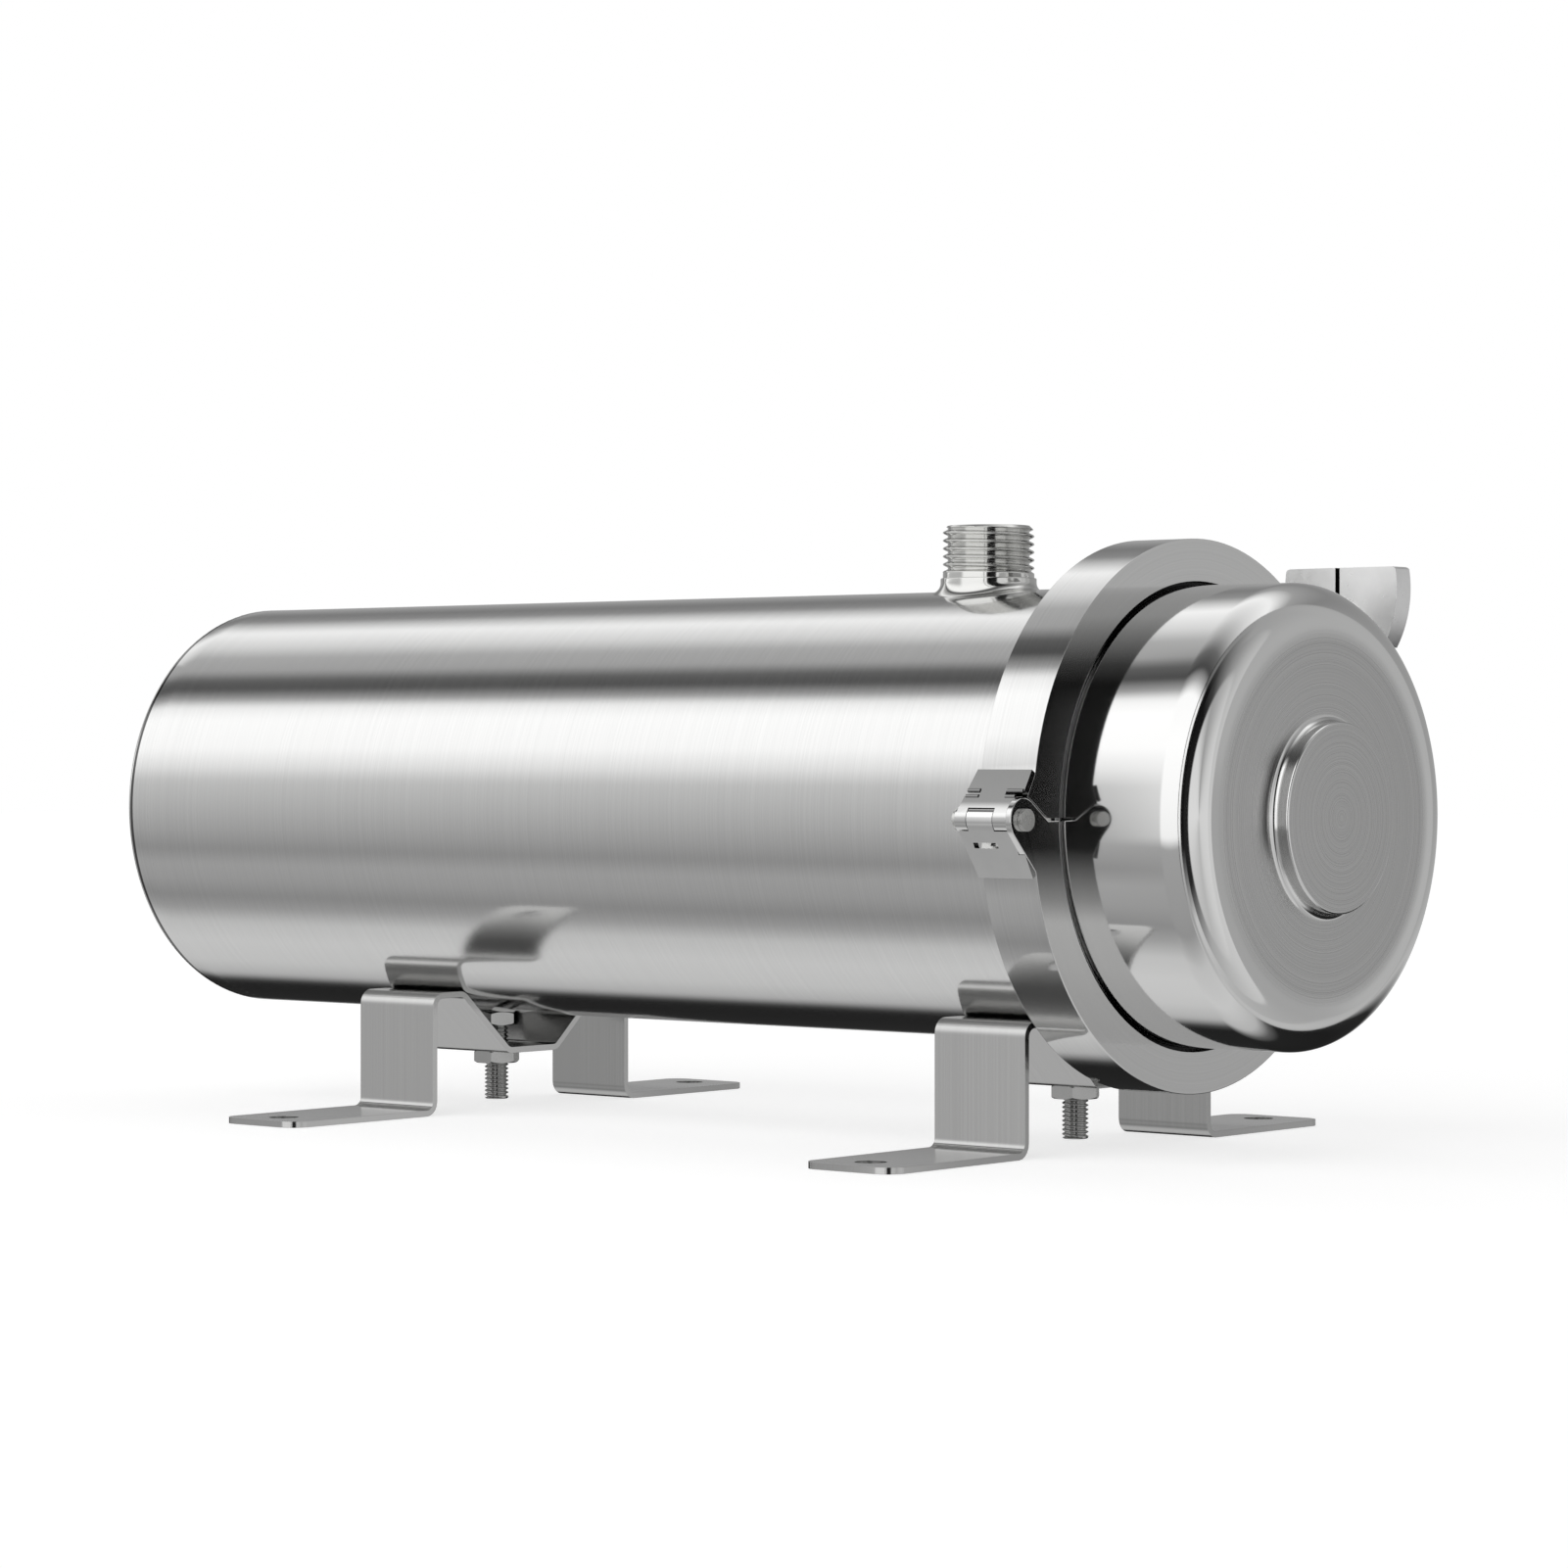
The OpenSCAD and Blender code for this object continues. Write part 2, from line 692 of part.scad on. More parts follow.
module lower_latch_ears() {
    low = pivot_z - eye_r - 3.5;
    floor_t = 1.5;
    inner_y = sqrt(pow(ring_r, 2) - pow(low, 2)) - 2;
    outer_y = bolt_y + eye_r + 1;
    color("lightgray") on_axis() difference() {
        union() {
            latch_cheeks() polygon([
                [inner_y, -split_gap],
                [bolt_y + 3, -split_gap],
                [outer_y, pivot_z + 6],
                [outer_y, pivot_z - 3],
                [bolt_y + 2, low],
                [inner_y, low]
            ]);
            slab_x(clamp_back, clamp_front) difference() {
                translate([inner_y, low]) square([bolt_y + 2 - inner_y, floor_t]);
                circle(r = ring_r + weld_gap);
            }
        }
        rod_x(clamp_back - cut, clamp_front + cut, pivot_pin_r + pin_play, bolt_y, pivot_z);
    }
}

module bolt_pivot_pin() {
    head_r = pivot_pin_r + 1.2;
    color("gray") on_axis() union() {
        rod_x(clamp_back - weld_gap, clamp_front + weld_gap, pivot_pin_r, bolt_y, pivot_z);
        rod_x(clamp_back - weld_gap - rivet_h, clamp_back - weld_gap, head_r, bolt_y, pivot_z);
        rod_x(clamp_front + weld_gap, clamp_front + weld_gap + rivet_h, head_r, bolt_y, pivot_z);
    }
}

module swing_bolt() {
    tip_chamfer = 0.8;
    color("silver") on_axis() difference() {
        union() {
            rod_x(clamp_x - eye_w / 2, clamp_x + eye_w / 2, eye_r, bolt_y, pivot_z);
            translate([clamp_x, bolt_y, pivot_z]) cylinder(h = bolt_top - tip_chamfer - pivot_z, r = bolt_r);
            translate([clamp_x, bolt_y, bolt_top - tip_chamfer])
                cylinder(h = tip_chamfer, r1 = bolt_r, r2 = bolt_r - tip_chamfer);
        }
        rod_x(clamp_back, clamp_front, pivot_pin_r + pin_play, bolt_y, pivot_z);
    }
}

module nut_washer() {
    washer_play = 0.3;
    color("silver") on_axis() translate([clamp_x, bolt_y, washer_z]) difference() {
        cylinder(h = washer_t, r = washer_r);
        translate([0, 0, -cut]) cylinder(h = washer_t + 2 * cut, r = bolt_r + washer_play);
    }
}

// Outline of one wing in X and Z, from the slit outwards
module wing_outline(reach) {
    corner = 1.6;
    lean = 2.9;
    bulge_r = 27;
    tip_r = 1.2;
    intersection() {
        difference() {
            polygon([
                [slit_w / 2, wing_top],
                [reach + 1, wing_top],
                [reach + 1, wing_top - corner - 2],
                [reach - lean + 1, wing_tip],
                [reach - lean - tip_r, wing_tip],
                [slit_w / 2, hub_top - 1.9],
                [slit_w / 2, hub_top]
            ]);
            difference() {
                translate([reach - corner, wing_top - corner]) square(2 * corner);
                translate([reach - corner, wing_top - corner]) circle(r = corner);
            }
        }
        translate([reach - bulge_r, wing_top - 5]) circle(r = bulge_r);
    }
}

module wing_nut() {
    neck_r = 2.2;
    color("silver") on_axis() translate([clamp_x, bolt_y, 0]) difference() {
        union() {
            translate([0, 0, hub_z]) cylinder(h = hub_h, r = hub_r);
            translate([0, 0, hub_z + hub_h]) cylinder(h = hub_taper_h, r1 = hub_r, r2 = neck_r);
            for (side = [0, 1])
                rotate([0, 0, 180 * side]) translate([0, wing_t / 2, 0]) rotate([90, 0, 0])
                    linear_extrude(wing_t) wing_outline(wing_reach + wing_offset * (1 - 2 * side));
        }
        translate([0, 0, hub_z - cut]) cylinder(h = bolt_top + 1 - hub_z + cut, r = bolt_r + pin_play);
    }
}

// Brackets and the studs that hold them

// Points of one bend round y, z, from angle a over sweep degrees
function bend(y, z, r, a, sweep) = [
    for (k = [0:bend_steps])
        let(t = a + sweep * k / bend_steps)
            [y + r * cos(t), z + r * sin(t)]
];

// One face of the folded strip in Y and Z from the tube axis: web, slope, shelf, leg and foot
function strip_face(lower) = let(near = lower ? arc_r : bend_r, far = lower ? bend_r : arc_r) concat(
    bend(web_half, -web_drop + arc_r, near, -90, cradle_slope),
    bend(saddle_y, saddle_z, far, 90 + cradle_slope, -cradle_slope),
    bend(saddle_y + shelf_len, saddle_z, far, 90, -90),
    bend(leg_y + bend_r, saddle_z - leg_len, near, 180, 90),
    [[foot_y, -axis_h + (lower ? 0 : bracket_t)]]
);
function mirrored(points) = [for (p = points) [-p[0], p[1]]];
function backwards(points) = [for (k = [len(points) - 1:-1:0]) points[k]];

module folded_strip() {
    upper = strip_face(false);
    lower = strip_face(true);
    polygon(concat(upper, backwards(lower), mirrored(lower), backwards(mirrored(upper))));
}

// What a rounded foot corner leaves away
module foot_corner(x, side, end) {
    size = foot_corner_r;
    mirror([0, end > 0 ? 0 : 1, 0]) translate([x, foot_y, 0]) mirror([side > 0 ? 0 : 1, 0, 0])
        translate([bracket_w / 2 - size, -size, -cut]) difference() {
            cube([size + cut, size + cut, bracket_t + 2 * cut]);
            translate([0, 0, -cut]) cylinder(h = bracket_t + 4 * cut, r = size);
        }
}

module bracket(x) {
    difference() {
        slab_x(x - bracket_w / 2, x + bracket_w / 2) translate([0, axis_h]) folded_strip();
        for (end = [-1, 1]) {
            translate([x, end * hole_y, -cut]) cylinder(h = bracket_t + 2 * cut, r = hole_r);
            foot_corner(x, -1, end);
            foot_corner(x, 1, end);
        }
        translate([x, 0, axis_h - web_drop - cut]) cylinder(h = bracket_t + 2 * cut, r = stud_r + slide_gap);
    }
}

module front_bracket() {
    color("darkgray") bracket(bracket_x);
}

module rear_bracket() {
    color("darkgray") bracket(-bracket_x);
}

module at_studs() {
    for (side = [-1, 1])
        on_axis() translate([side * bracket_x, 0, 0]) children();
}

module hexagon(z, h) {
    translate([0, 0, z]) rotate([0, 0, 30]) cylinder(h = h, r = nut_flats / sqrt(3), $fn = 6);
}

module stud_weld_hexes() {
    color("gray") at_studs() difference() {
        hexagon(-tube_r - weld_hex_h, weld_hex_h + 1);
        translate([0, 0, -tube_r - weld_hex_h - cut])
            cylinder(h = weld_hex_h + 3 * cut, r = stud_r + slide_gap);
        rod_x(-nut_flats, nut_flats, tube_r + weld_gap);
    }
}

module mounting_studs() {
    tip_chamfer = 0.6;
    top = -tube_r - 0.1;
    color("lightgray") at_studs() union() {
        translate([0, 0, -stud_drop + tip_chamfer]) cylinder(h = stud_drop - tip_chamfer + top, r = stud_r);
        translate([0, 0, -stud_drop]) cylinder(h = tip_chamfer, r1 = stud_r - tip_chamfer, r2 = stud_r);
    }
}

module bracket_nuts() {
    color("gray") at_studs() difference() {
        hexagon(-web_drop - nut_h, nut_h);
        translate([0, 0, -web_drop - nut_h - cut]) cylinder(h = nut_h + 2 * cut, r = stud_r + pin_play);
    }
}

// Membrane cartridge and what seals and centres it

module outlet_socket() {
    color("silver") on_axis() difference() {
        rod_x(head_in, head_in + socket_len, socket_r + socket_wall);
        rod_x(head_in - cut, head_in + socket_len + cut, socket_r);
    }
}

o_ring_x = [spigot_back + o_ring_inset, spigot_back + o_ring_inset + o_ring_pitch];
o_ring_centre_r = socket_r - o_ring_r - 0.02;

module collector_fitting() {
    spigot_bore = spigot_r - 6;
    color("white") on_axis() difference() {
        union() {
            rod_x(spigot_back, collector_back + 1, spigot_r);
            rod_x(collector_back, collector_back + collector_plate + fitting_skirt, fitting_r);
        }
        rod_x(sleeve_back - slide_gap, sleeve_back - slide_gap + fitting_skirt + cut, sleeve_r + slide_gap);
        rod_x(spigot_back - cut, collector_back + collector_plate + cut, spigot_bore);
        for (x = o_ring_x)
            translate([x, 0, 0]) along_x() rotate_extrude()
                translate([o_ring_centre_r - o_ring_r - 0.02, -o_ring_r - slide_gap])
                    square([spigot_r, 2 * (o_ring_r + slide_gap)]);
    }
}

module spigot_o_rings() {
    color("black") on_axis() for (x = o_ring_x)
        translate([x, 0, 0]) along_x() rotate_extrude() translate([o_ring_centre_r, 0]) circle(r = o_ring_r);
}

module cartridge_sleeve() {
    rows = 5;
    per_row = 8;
    first = sleeve_back + potting_len + fitting_skirt;
    last = sleeve_front - fitting_skirt - flow_hole_inset;
    color("white") on_axis() difference() {
        rod_x(sleeve_back, sleeve_front, sleeve_r);
        rod_x(sleeve_back - cut, sleeve_front + cut, sleeve_r - sleeve_wall);
        for (row = [0:rows - 1])
            for (k = [0:per_row - 1])
                translate([first + (last - first) * row / (rows - 1), 0, 0])
                    rotate([(k + (row % 2) / 2) * 360 / per_row, 0, 0])
                        translate([0, 0, sleeve_r - sleeve_wall - cut])
                            cylinder(h = sleeve_wall + 2 * cut, r = flow_hole_r, $fn = 24);
    }
}

module potted_end() {
    color("khaki") on_axis()
        rod_x(sleeve_back + 3, sleeve_back + 3 + potting_len, sleeve_r - sleeve_wall - slide_gap);
}

module fibre_bundle() {
    color("ivory") on_axis() rod_x(sleeve_back + 3 + potting_len, sleeve_front - 6, fibre_r);
}

module grip_fitting() {
    stem_front = buffer_front - buffer_len + 4;
    color("white") on_axis() difference() {
        union() {
            rod_x(grip_front - collector_plate - fitting_skirt, grip_front, fitting_r);
            rod_x(grip_front - cut, stem_front, grip_stem_r);
        }
        rod_x(sleeve_front + slide_gap - fitting_skirt - cut, sleeve_front + slide_gap, sleeve_r + slide_gap);
        for (turn = [0:60:300])
            rotate([turn, 0, 0])
                rod_x(sleeve_front - cut, grip_front + cut, flush_hole_r, 0, (sleeve_r + grip_stem_r) / 2);
    }
}

module centring_ring() {
    outer = bore_r - slide_gap;
    inner = fitting_r + slide_gap;
    notch_r = 0.75 * (outer - inner);
    color("white") on_axis() difference() {
        rod_x(centring_x - centring_w / 2, centring_x + centring_w / 2, outer);
        rod_x(centring_x - centring_w, centring_x + centring_w, inner);
        for (turn = [0:45:315])
            rotate([turn, 0, 0]) rod_x(centring_x - centring_w, centring_x + centring_w, notch_r, 0, outer);
    }
}

module end_buffer() {
    color("dimgray") on_axis() difference() {
        rod_x(buffer_front - buffer_len, buffer_front, grip_stem_r + 4);
        rod_x(buffer_front - buffer_len - cut, buffer_front - buffer_len + 4 + slide_gap,
            grip_stem_r + slide_gap);
    }
}

housing_tube();
rear_head();
housing_ferrule();
inlet_port();
outlet_port();
flush_port();
end_cap();
cap_ferrule();
clamp_gasket();
clamp_lower();
clamp_upper();
lower_hinge_leaf();
upper_hinge_leaf();
hinge_pin();
lower_latch_ears();
upper_latch_seat();
swing_bolt();
bolt_pivot_pin();
nut_washer();
wing_nut();
stud_weld_hexes();
mounting_studs();
front_bracket();
rear_bracket();
bracket_nuts();
outlet_socket();
collector_fitting();
spigot_o_rings();
cartridge_sleeve();
potted_end();
fibre_bundle();
grip_fitting();
centring_ring();
end_buffer();
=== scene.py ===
import math

import bmesh
import bpy
import numpy as np
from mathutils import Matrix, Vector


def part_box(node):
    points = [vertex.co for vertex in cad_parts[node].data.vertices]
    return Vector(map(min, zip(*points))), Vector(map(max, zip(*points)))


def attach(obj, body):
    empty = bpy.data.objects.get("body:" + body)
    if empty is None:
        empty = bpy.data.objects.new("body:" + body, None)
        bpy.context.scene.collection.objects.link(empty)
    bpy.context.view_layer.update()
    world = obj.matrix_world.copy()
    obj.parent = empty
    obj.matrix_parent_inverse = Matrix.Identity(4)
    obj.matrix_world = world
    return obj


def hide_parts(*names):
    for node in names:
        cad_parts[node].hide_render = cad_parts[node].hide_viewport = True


bl_info = {
    "name": "Membrane water purifier",
    "version": (1, 0, 0),
    "blender": (4, 5, 0),
    "location": "3D View > Sidebar > Purifier",
    "description": "Builds a stainless steel membrane water purifier around its solid model",
    "category": "Object",
}

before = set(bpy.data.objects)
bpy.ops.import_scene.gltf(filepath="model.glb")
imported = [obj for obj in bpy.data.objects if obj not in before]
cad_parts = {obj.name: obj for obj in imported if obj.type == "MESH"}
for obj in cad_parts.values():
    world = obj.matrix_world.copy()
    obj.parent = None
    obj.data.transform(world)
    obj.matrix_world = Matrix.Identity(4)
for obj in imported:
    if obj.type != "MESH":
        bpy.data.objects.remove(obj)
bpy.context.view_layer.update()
MM = 0.001
TINY = 1e-9
TURN = 2 * math.pi
ROOT = "housing"
X_AXIS, Z_AXIS = 0, 2
# Half the angle of a corner, in radians, from which it counts as straight.
STRAIGHT = 1.55
# Angles in degrees over which an edge is shaded sharp.
SMOOTH_ANGLE = 32.0
HEXAGON_SHARP = 25.0
WELD_SHARP = 40.0
CAP_SHARP = 50.0
THREAD_SHARP = 75.0
# How many points go round each kind of piece.
TUBE_SEGMENTS = 256
PORT_SEGMENTS = 216
SADDLE_SEGMENTS = 144
HEXAGON_SEGMENTS = 144
FILLET_SEGMENTS = 96
BOLT_SEGMENTS = 96
STUD_SEGMENTS = 64
# Depths in metres: the metric threads of the bolt and the studs, and the tube's brush marks.
BOLT_THREAD_DEPTH = 0.77 * MM
STUD_THREAD_DEPTH = 0.61 * MM
TUBE_BRUSH_DEPTH = 4e-6


def node_box(node):
    """Lowest and highest corner of a solid, as two arrays."""
    low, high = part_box(node)
    return np.array(low, float), np.array(high, float)


TUBE_LOW, TUBE_HIGH = node_box("housing_tube")
CAP_LOW, CAP_HIGH = node_box("end_cap")
PORT_LOW, PORT_HIGH = node_box("inlet_port")
BOLT_LOW, BOLT_HIGH = node_box("swing_bolt")
TUBE_RADIUS = (TUBE_HIGH[1] - TUBE_LOW[1]) / 2
AXIS_HEIGHT = (TUBE_HIGH[2] + TUBE_LOW[2]) / 2
PORT_X = (PORT_LOW[0] + PORT_HIGH[0]) / 2


def length(label, text, default):
    """A size that a user may change, in metres."""
    return bpy.props.FloatProperty(name=label, description=text, default=default, unit="LENGTH", precision=5)


def colour(label, text, default):
    """A colour that a user may change."""
    return bpy.props.FloatVectorProperty(
        name=label, description=text, default=default, subtype="COLOR", size=3, min=0, max=1)


def ratio(label, text, default):
    """A share from 0 to 1 that a user may change."""
    return bpy.props.FloatProperty(name=label, description=text, default=default, min=0, max=1)


class HousingSizes(bpy.types.PropertyGroup):
    wall: length("Tube wall", "Wall of the housing tube", 1.2 * MM)
    line_step: length("Mesh step", "Spacing of the tube's rings of vertices", 1.5 * MM)
    opening: length("Opening radius", "Radius of the opening under the port's weld", 11.5 * MM)


class CapSizes(bpy.types.PropertyGroup):
    corner: length("Corner radius", "Outside radius between the barrel and the flat face", 8 * MM)
    wall: length("Wall", "Wall of the pressed cap", 1.5 * MM)
    boss_radius: length("Boss radius", "Radius of the raised boss at its top", 20.8 * MM)
    boss_height: length("Boss height", "Height of the raised boss", 4 * MM)
    boss_foot: length("Boss fillet", "Radius of the fillet at the boss's foot", 1.6 * MM)
    boss_rim: length("Boss rim", "Radius of the boss's upper edge", 0.5 * MM)


class PortSizes(bpy.types.PropertyGroup):
    crest: length("Crest radius", "Radius over the thread's crests", 10.4775 * MM)
    depth: length("Thread depth", "Depth of the thread", 1.16 * MM)
    pitch: length("Pitch", "Pitch of the thread", 1.814 * MM)
    thread: length("Thread length", "Length of the threaded part", 11 * MM)
    mouth: length("Mouth chamfer", "Chamfer at the end of the thread", 1.6 * MM)
    bore: length("Bore radius", "Radius of the water way", 7.5 * MM)
    collar: length("Collar radius", "Radius of the collar at the port's foot", 11 * MM)
    collar_step: length("Collar height", "Height of the wide part of the collar", 3.4 * MM)
    collar_top: length("Thread start", "Height at which the thread starts", 4.4 * MM)
    weld: length("Weld reach", "Reach of the weld fillet", 2.2 * MM)


class FastenerSizes(bpy.types.PropertyGroup):
    stud_radius: length("Stud radius", "Radius of the mounting studs", 3 * MM)
    stud_pitch: length("Stud pitch", "Pitch of the studs' thread", 1 * MM)
    bolt_radius: length("Bolt radius", "Radius of the swing bolt", 4 * MM)
    bolt_pitch: length("Bolt pitch", "Pitch of the swing bolt's thread", 1.25 * MM)
    flats: length("Nut flats", "Width across the flats of the stud nuts", 10.2 * MM)


class Finishes(bpy.types.PropertyGroup):
    tube: colour("Tube", "Colour of the brushed tube", (0.74, 0.74, 0.735))
    cap: colour("Cap", "Colour of the spun cap and heads", (0.76, 0.76, 0.755))
    clamp: colour("Clamp", "Colour of the clamp's sheet", (0.74, 0.74, 0.735))
    bracket: colour("Brackets", "Colour of the brackets' sheet", (0.54, 0.54, 0.535))
    turned: colour("Turned parts", "Colour of the ports and flanges", (0.70, 0.70, 0.685))
    cast: colour("Wing nut", "Colour of the cast nut", (0.93, 0.93, 0.93))
    bolt: colour("Bolts", "Colour of bolts and nuts", (0.46, 0.46, 0.455))
    plastic: colour("Plastic", "Colour of the cartridge's mouldings", (0.86, 0.87, 0.88))
    tube_roughness: ratio("Tube roughness", "Roughness of the brushed tube", 0.11)
    cap_roughness: ratio("Cap roughness", "Roughness of the polished cap", 0.07)


class StageSettings(bpy.types.PropertyGroup):
    camera_place: bpy.props.FloatVectorProperty(
        name="Camera", description="Place of the camera", default=(0.69525, -0.82355, 0.09054),
        subtype="TRANSLATION", unit="LENGTH")
    camera_heading: bpy.props.FloatProperty(
        name="Heading", description="Direction of the camera round the vertical", default=math.radians(40),
        subtype="ANGLE")
    focal_length: bpy.props.FloatProperty(
        name="Lens", description="Focal length in millimetres", default=103.8, min=1)
    shift: bpy.props.FloatProperty(name="Shift", description="Vertical shift of the lens", default=-0.0254)
    floor: colour("Floor", "Colour of the floor", (0.5, 0.5, 0.5))


class PurifierSettings(bpy.types.PropertyGroup):
    housing: bpy.props.PointerProperty(type=HousingSizes)
    cap: bpy.props.PointerProperty(type=CapSizes)
    port: bpy.props.PointerProperty(type=PortSizes)
    fastener: bpy.props.PointerProperty(type=FastenerSizes)
    finish: bpy.props.PointerProperty(type=Finishes)
    stage: bpy.props.PointerProperty(type=StageSettings)


# Surfaces: points on a grid of two parameters, worked out as whole arrays.

def grid_faces(rows, cols, wrap_rows=False, wrap_cols=False):
    """Quads between neighbouring points of a grid; a wrapped direction joins its last line to its first."""
    i, j = np.meshgrid(
        np.arange(rows - (not wrap_rows)), np.arange(cols - (not wrap_cols)), indexing="ij")
    i2, j2 = (i + 1) % rows, (j + 1) % cols
    return np.stack([i * cols + j, i2 * cols + j, i2 * cols + j2, i * cols + j2], axis=-1).reshape(-1, 4)


def rounded(points, radii, steps):
    """A polyline whose corners are replaced by arcs.
    Each arc touches both legs at radius / tan(half the corner)."""
    points = np.asarray(points, float)
    radii = np.broadcast_to(np.asarray(radii, float), len(points))
    out = [points[0]]
    for k in range(1, len(points) - 1):
        corner, radius = points[k], radii[k]
        into = (points[k - 1] - corner) / np.linalg.norm(points[k - 1] - corner)
        away = (points[k + 1] - corner) / np.linalg.norm(points[k + 1] - corner)
        half = math.acos(float(np.clip(into @ away, -1, 1))) / 2
        if radius <= 0 or half > STRAIGHT:
            out.append(corner)
            continue
        middle = (into + away) / np.linalg.norm(into + away)
        centre = corner + middle * radius / math.sin(half)
        start = corner + into * radius / math.tan(half) - centre
        end = corner + away * radius / math.tan(half) - centre
        sweep = math.pi - 2 * half
        t = np.linspace(0, 1, steps + 1)[:, None]
        out.extend(centre + (np.sin((1 - t) * sweep) * start + np.sin(t * sweep) * end) / math.sin(sweep))
    out.append(points[-1])
    return np.array(out)


def spin(profile, segments, axis="x"):
    """A profile of (along, radius) turned round an axis.
    The point at angle t is (along, radius sin t, radius cos t)."""
    t = np.arange(segments) * TURN / segments
    along = np.repeat(profile[:, :1], segments, axis=1)
    a, b = profile[:, 1:2] * np.sin(t), profile[:, 1:2] * np.cos(t)
    order = (along, a, b) if axis == "x" else (a, b, along)
    return np.stack(order, axis=-1)


def threaded(profile, segments, pitch, depth, low, high, lead, mouth=0.0):
    """A spun profile round Z whose radius loses a rounded V-groove between two heights.
    With w a triangle wave of z / pitch - t / 360 degrees at angle t and height z, its tips cut a little
    flat, the groove takes depth (1 - 3 w^2 + 2 w^3). It fades in over its first turns, as many as the
    lead says.
    A cone of 45 degrees then cuts the mouth down to the crest's radius less the mouth's chamfer."""
    points = spin(profile, segments, "z")
    t = np.arange(segments) / segments
    z = points[..., 2]
    phase = (z / pitch - t[None, :]) % 1.0
    wave = np.clip(np.abs(2 * phase - 1) * 1.1 - 0.05, 0, 1)
    wave = wave * wave * (3 - 2 * wave)
    fade = np.clip((z - low) / (lead * pitch), 0, 1)
    inside = (z >= low) & (profile[:, 2:3] > 0)
    radius = np.hypot(points[..., 0], points[..., 1])
    wanted = np.where(inside, radius - depth * (1 - wave) * fade, radius)
    cone = profile[:, 1].max() - np.clip(z - (high - mouth), 0, None)
    wanted = np.minimum(wanted, cone)
    scale = wanted / np.maximum(radius, TINY)
    points[..., 0] *= scale
    points[..., 1] *= scale
    return points


def with_thread_rows(profile, low, high, step):
    """A profile of (height, radius) with a third column that is 1 on the threaded wall.
    That wall gets a row at every step."""
    rows = []
    for (z0, r0), (z1, r1) in zip(profile[:-1], profile[1:]):
        inside = min(z0, z1) >= low - TINY and max(z0, z1) <= high + TINY
        wall = abs(r0 - r1) < TINY and inside and abs(z1 - z0) > 2 * step
        count = max(int(round(abs(z1 - z0) / step)), 1) if wall else 1
        s = np.arange(count) / count
        rows.append(np.stack([z0 + (z1 - z0) * s, r0 + (r1 - r0) * s, np.full(count, float(wall))], axis=-1))
    rows.append(np.array([[profile[-1][0], profile[-1][1], 0.0]]))
    return np.concatenate(rows)


class Shape:
    """Vertices and faces gathered from several surfaces into one mesh."""

    def __init__(self):
        self.points, self.faces, self.count = [], [], 0

    def add(self, points, faces):
        """Adds a surface; faces that enclose a negative volume are turned over, so they point outwards."""
        points = np.asarray(points, float).reshape(-1, 3)
        self.points.append(points)
        faces = np.asarray(faces)
        a, b, c = (points[faces[:, k]] for k in range(3))
        volume = np.einsum("ij,ij->i", a, np.cross(b, c)).sum()
        if faces.shape[1] == 4:
            d = points[faces[:, 3]]
            volume += np.einsum("ij,ij->i", a, np.cross(c, d)).sum()
        self.faces.extend((faces[:, ::-1] if volume < 0 else faces + 0) + self.count)
        self.count += len(points)
        return self

    def grid(self, points, wrap_rows=False, wrap_cols=False, move=(0, 0, 0)):
        """Adds a grid of points, shifted by the move."""
        rows, cols = points.shape[:2]
        return self.add(points + np.asarray(move, float), grid_faces(rows, cols, wrap_rows, wrap_cols))


def make_piece(name, shape, material, body, replaces, sharp=SMOOTH_ANGLE):
    """Makes the mesh of a piece, merges its seams and poles, and puts it on its body.
    Edges that bend by more than the sharp angle, in degrees, stay sharp."""
    mesh = bpy.data.meshes.new(name)
    mesh.from_pydata(np.concatenate(shape.points).tolist(), [], [list(map(int, f)) for f in shape.faces])
    piece = bpy.data.objects.new(name, mesh)
    bpy.context.scene.collection.objects.link(piece)
    weld_mesh(mesh)
    mesh.shade_smooth()
    mesh.set_sharp_from_angle(angle=math.radians(sharp))
    mesh.materials.append(material)
    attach(piece, body)
    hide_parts(*replaces)
    return piece


def weld_mesh(mesh):
    """Merges points that lie on each other, which closes seams and poles."""
    work = bmesh.new()
    work.from_mesh(mesh)
    bmesh.ops.remove_doubles(work, verts=work.verts, dist=1e-7)
    bmesh.ops.dissolve_degenerate(work, edges=work.edges, dist=1e-8)
    work.to_mesh(mesh)
    work.free()


# Materials: node trees that are written as arithmetic.

class Wire:
    """A number or colour in a node tree. Arithmetic on it adds Math nodes."""

    def __init__(self, graph, socket):
        self.graph, self.socket = graph, socket

    def math(self, operation, *others, flip=False):
        """Adds a Math node; a flip puts the other value first."""
        values = (self,) + others
        if flip:
            values = values[::-1]
        return self.graph.node("ShaderNodeMath", {"operation": operation}, dict(enumerate(values)))

    def __add__(self, other):
        return self.math("ADD", other)

    __radd__ = __add__

    def __sub__(self, other):
        return self.math("SUBTRACT", other)

    def __rsub__(self, other):
        return self.math("SUBTRACT", other, flip=True)

    def __mul__(self, other):
        return self.math("MULTIPLY", other)

    __rmul__ = __mul__

    def __truediv__(self, other):
        return self.math("DIVIDE", other)

    def __pow__(self, other):
        return self.math("POWER", other)

    def step(self, low, high):
        """0 below low, 1 above high and smooth between."""
        return self.graph.node("ShaderNodeMapRange", {"interpolation_type": "SMOOTHSTEP"},
                               {0: self, 1: low, 2: high, 3: 0.0, 4: 1.0})


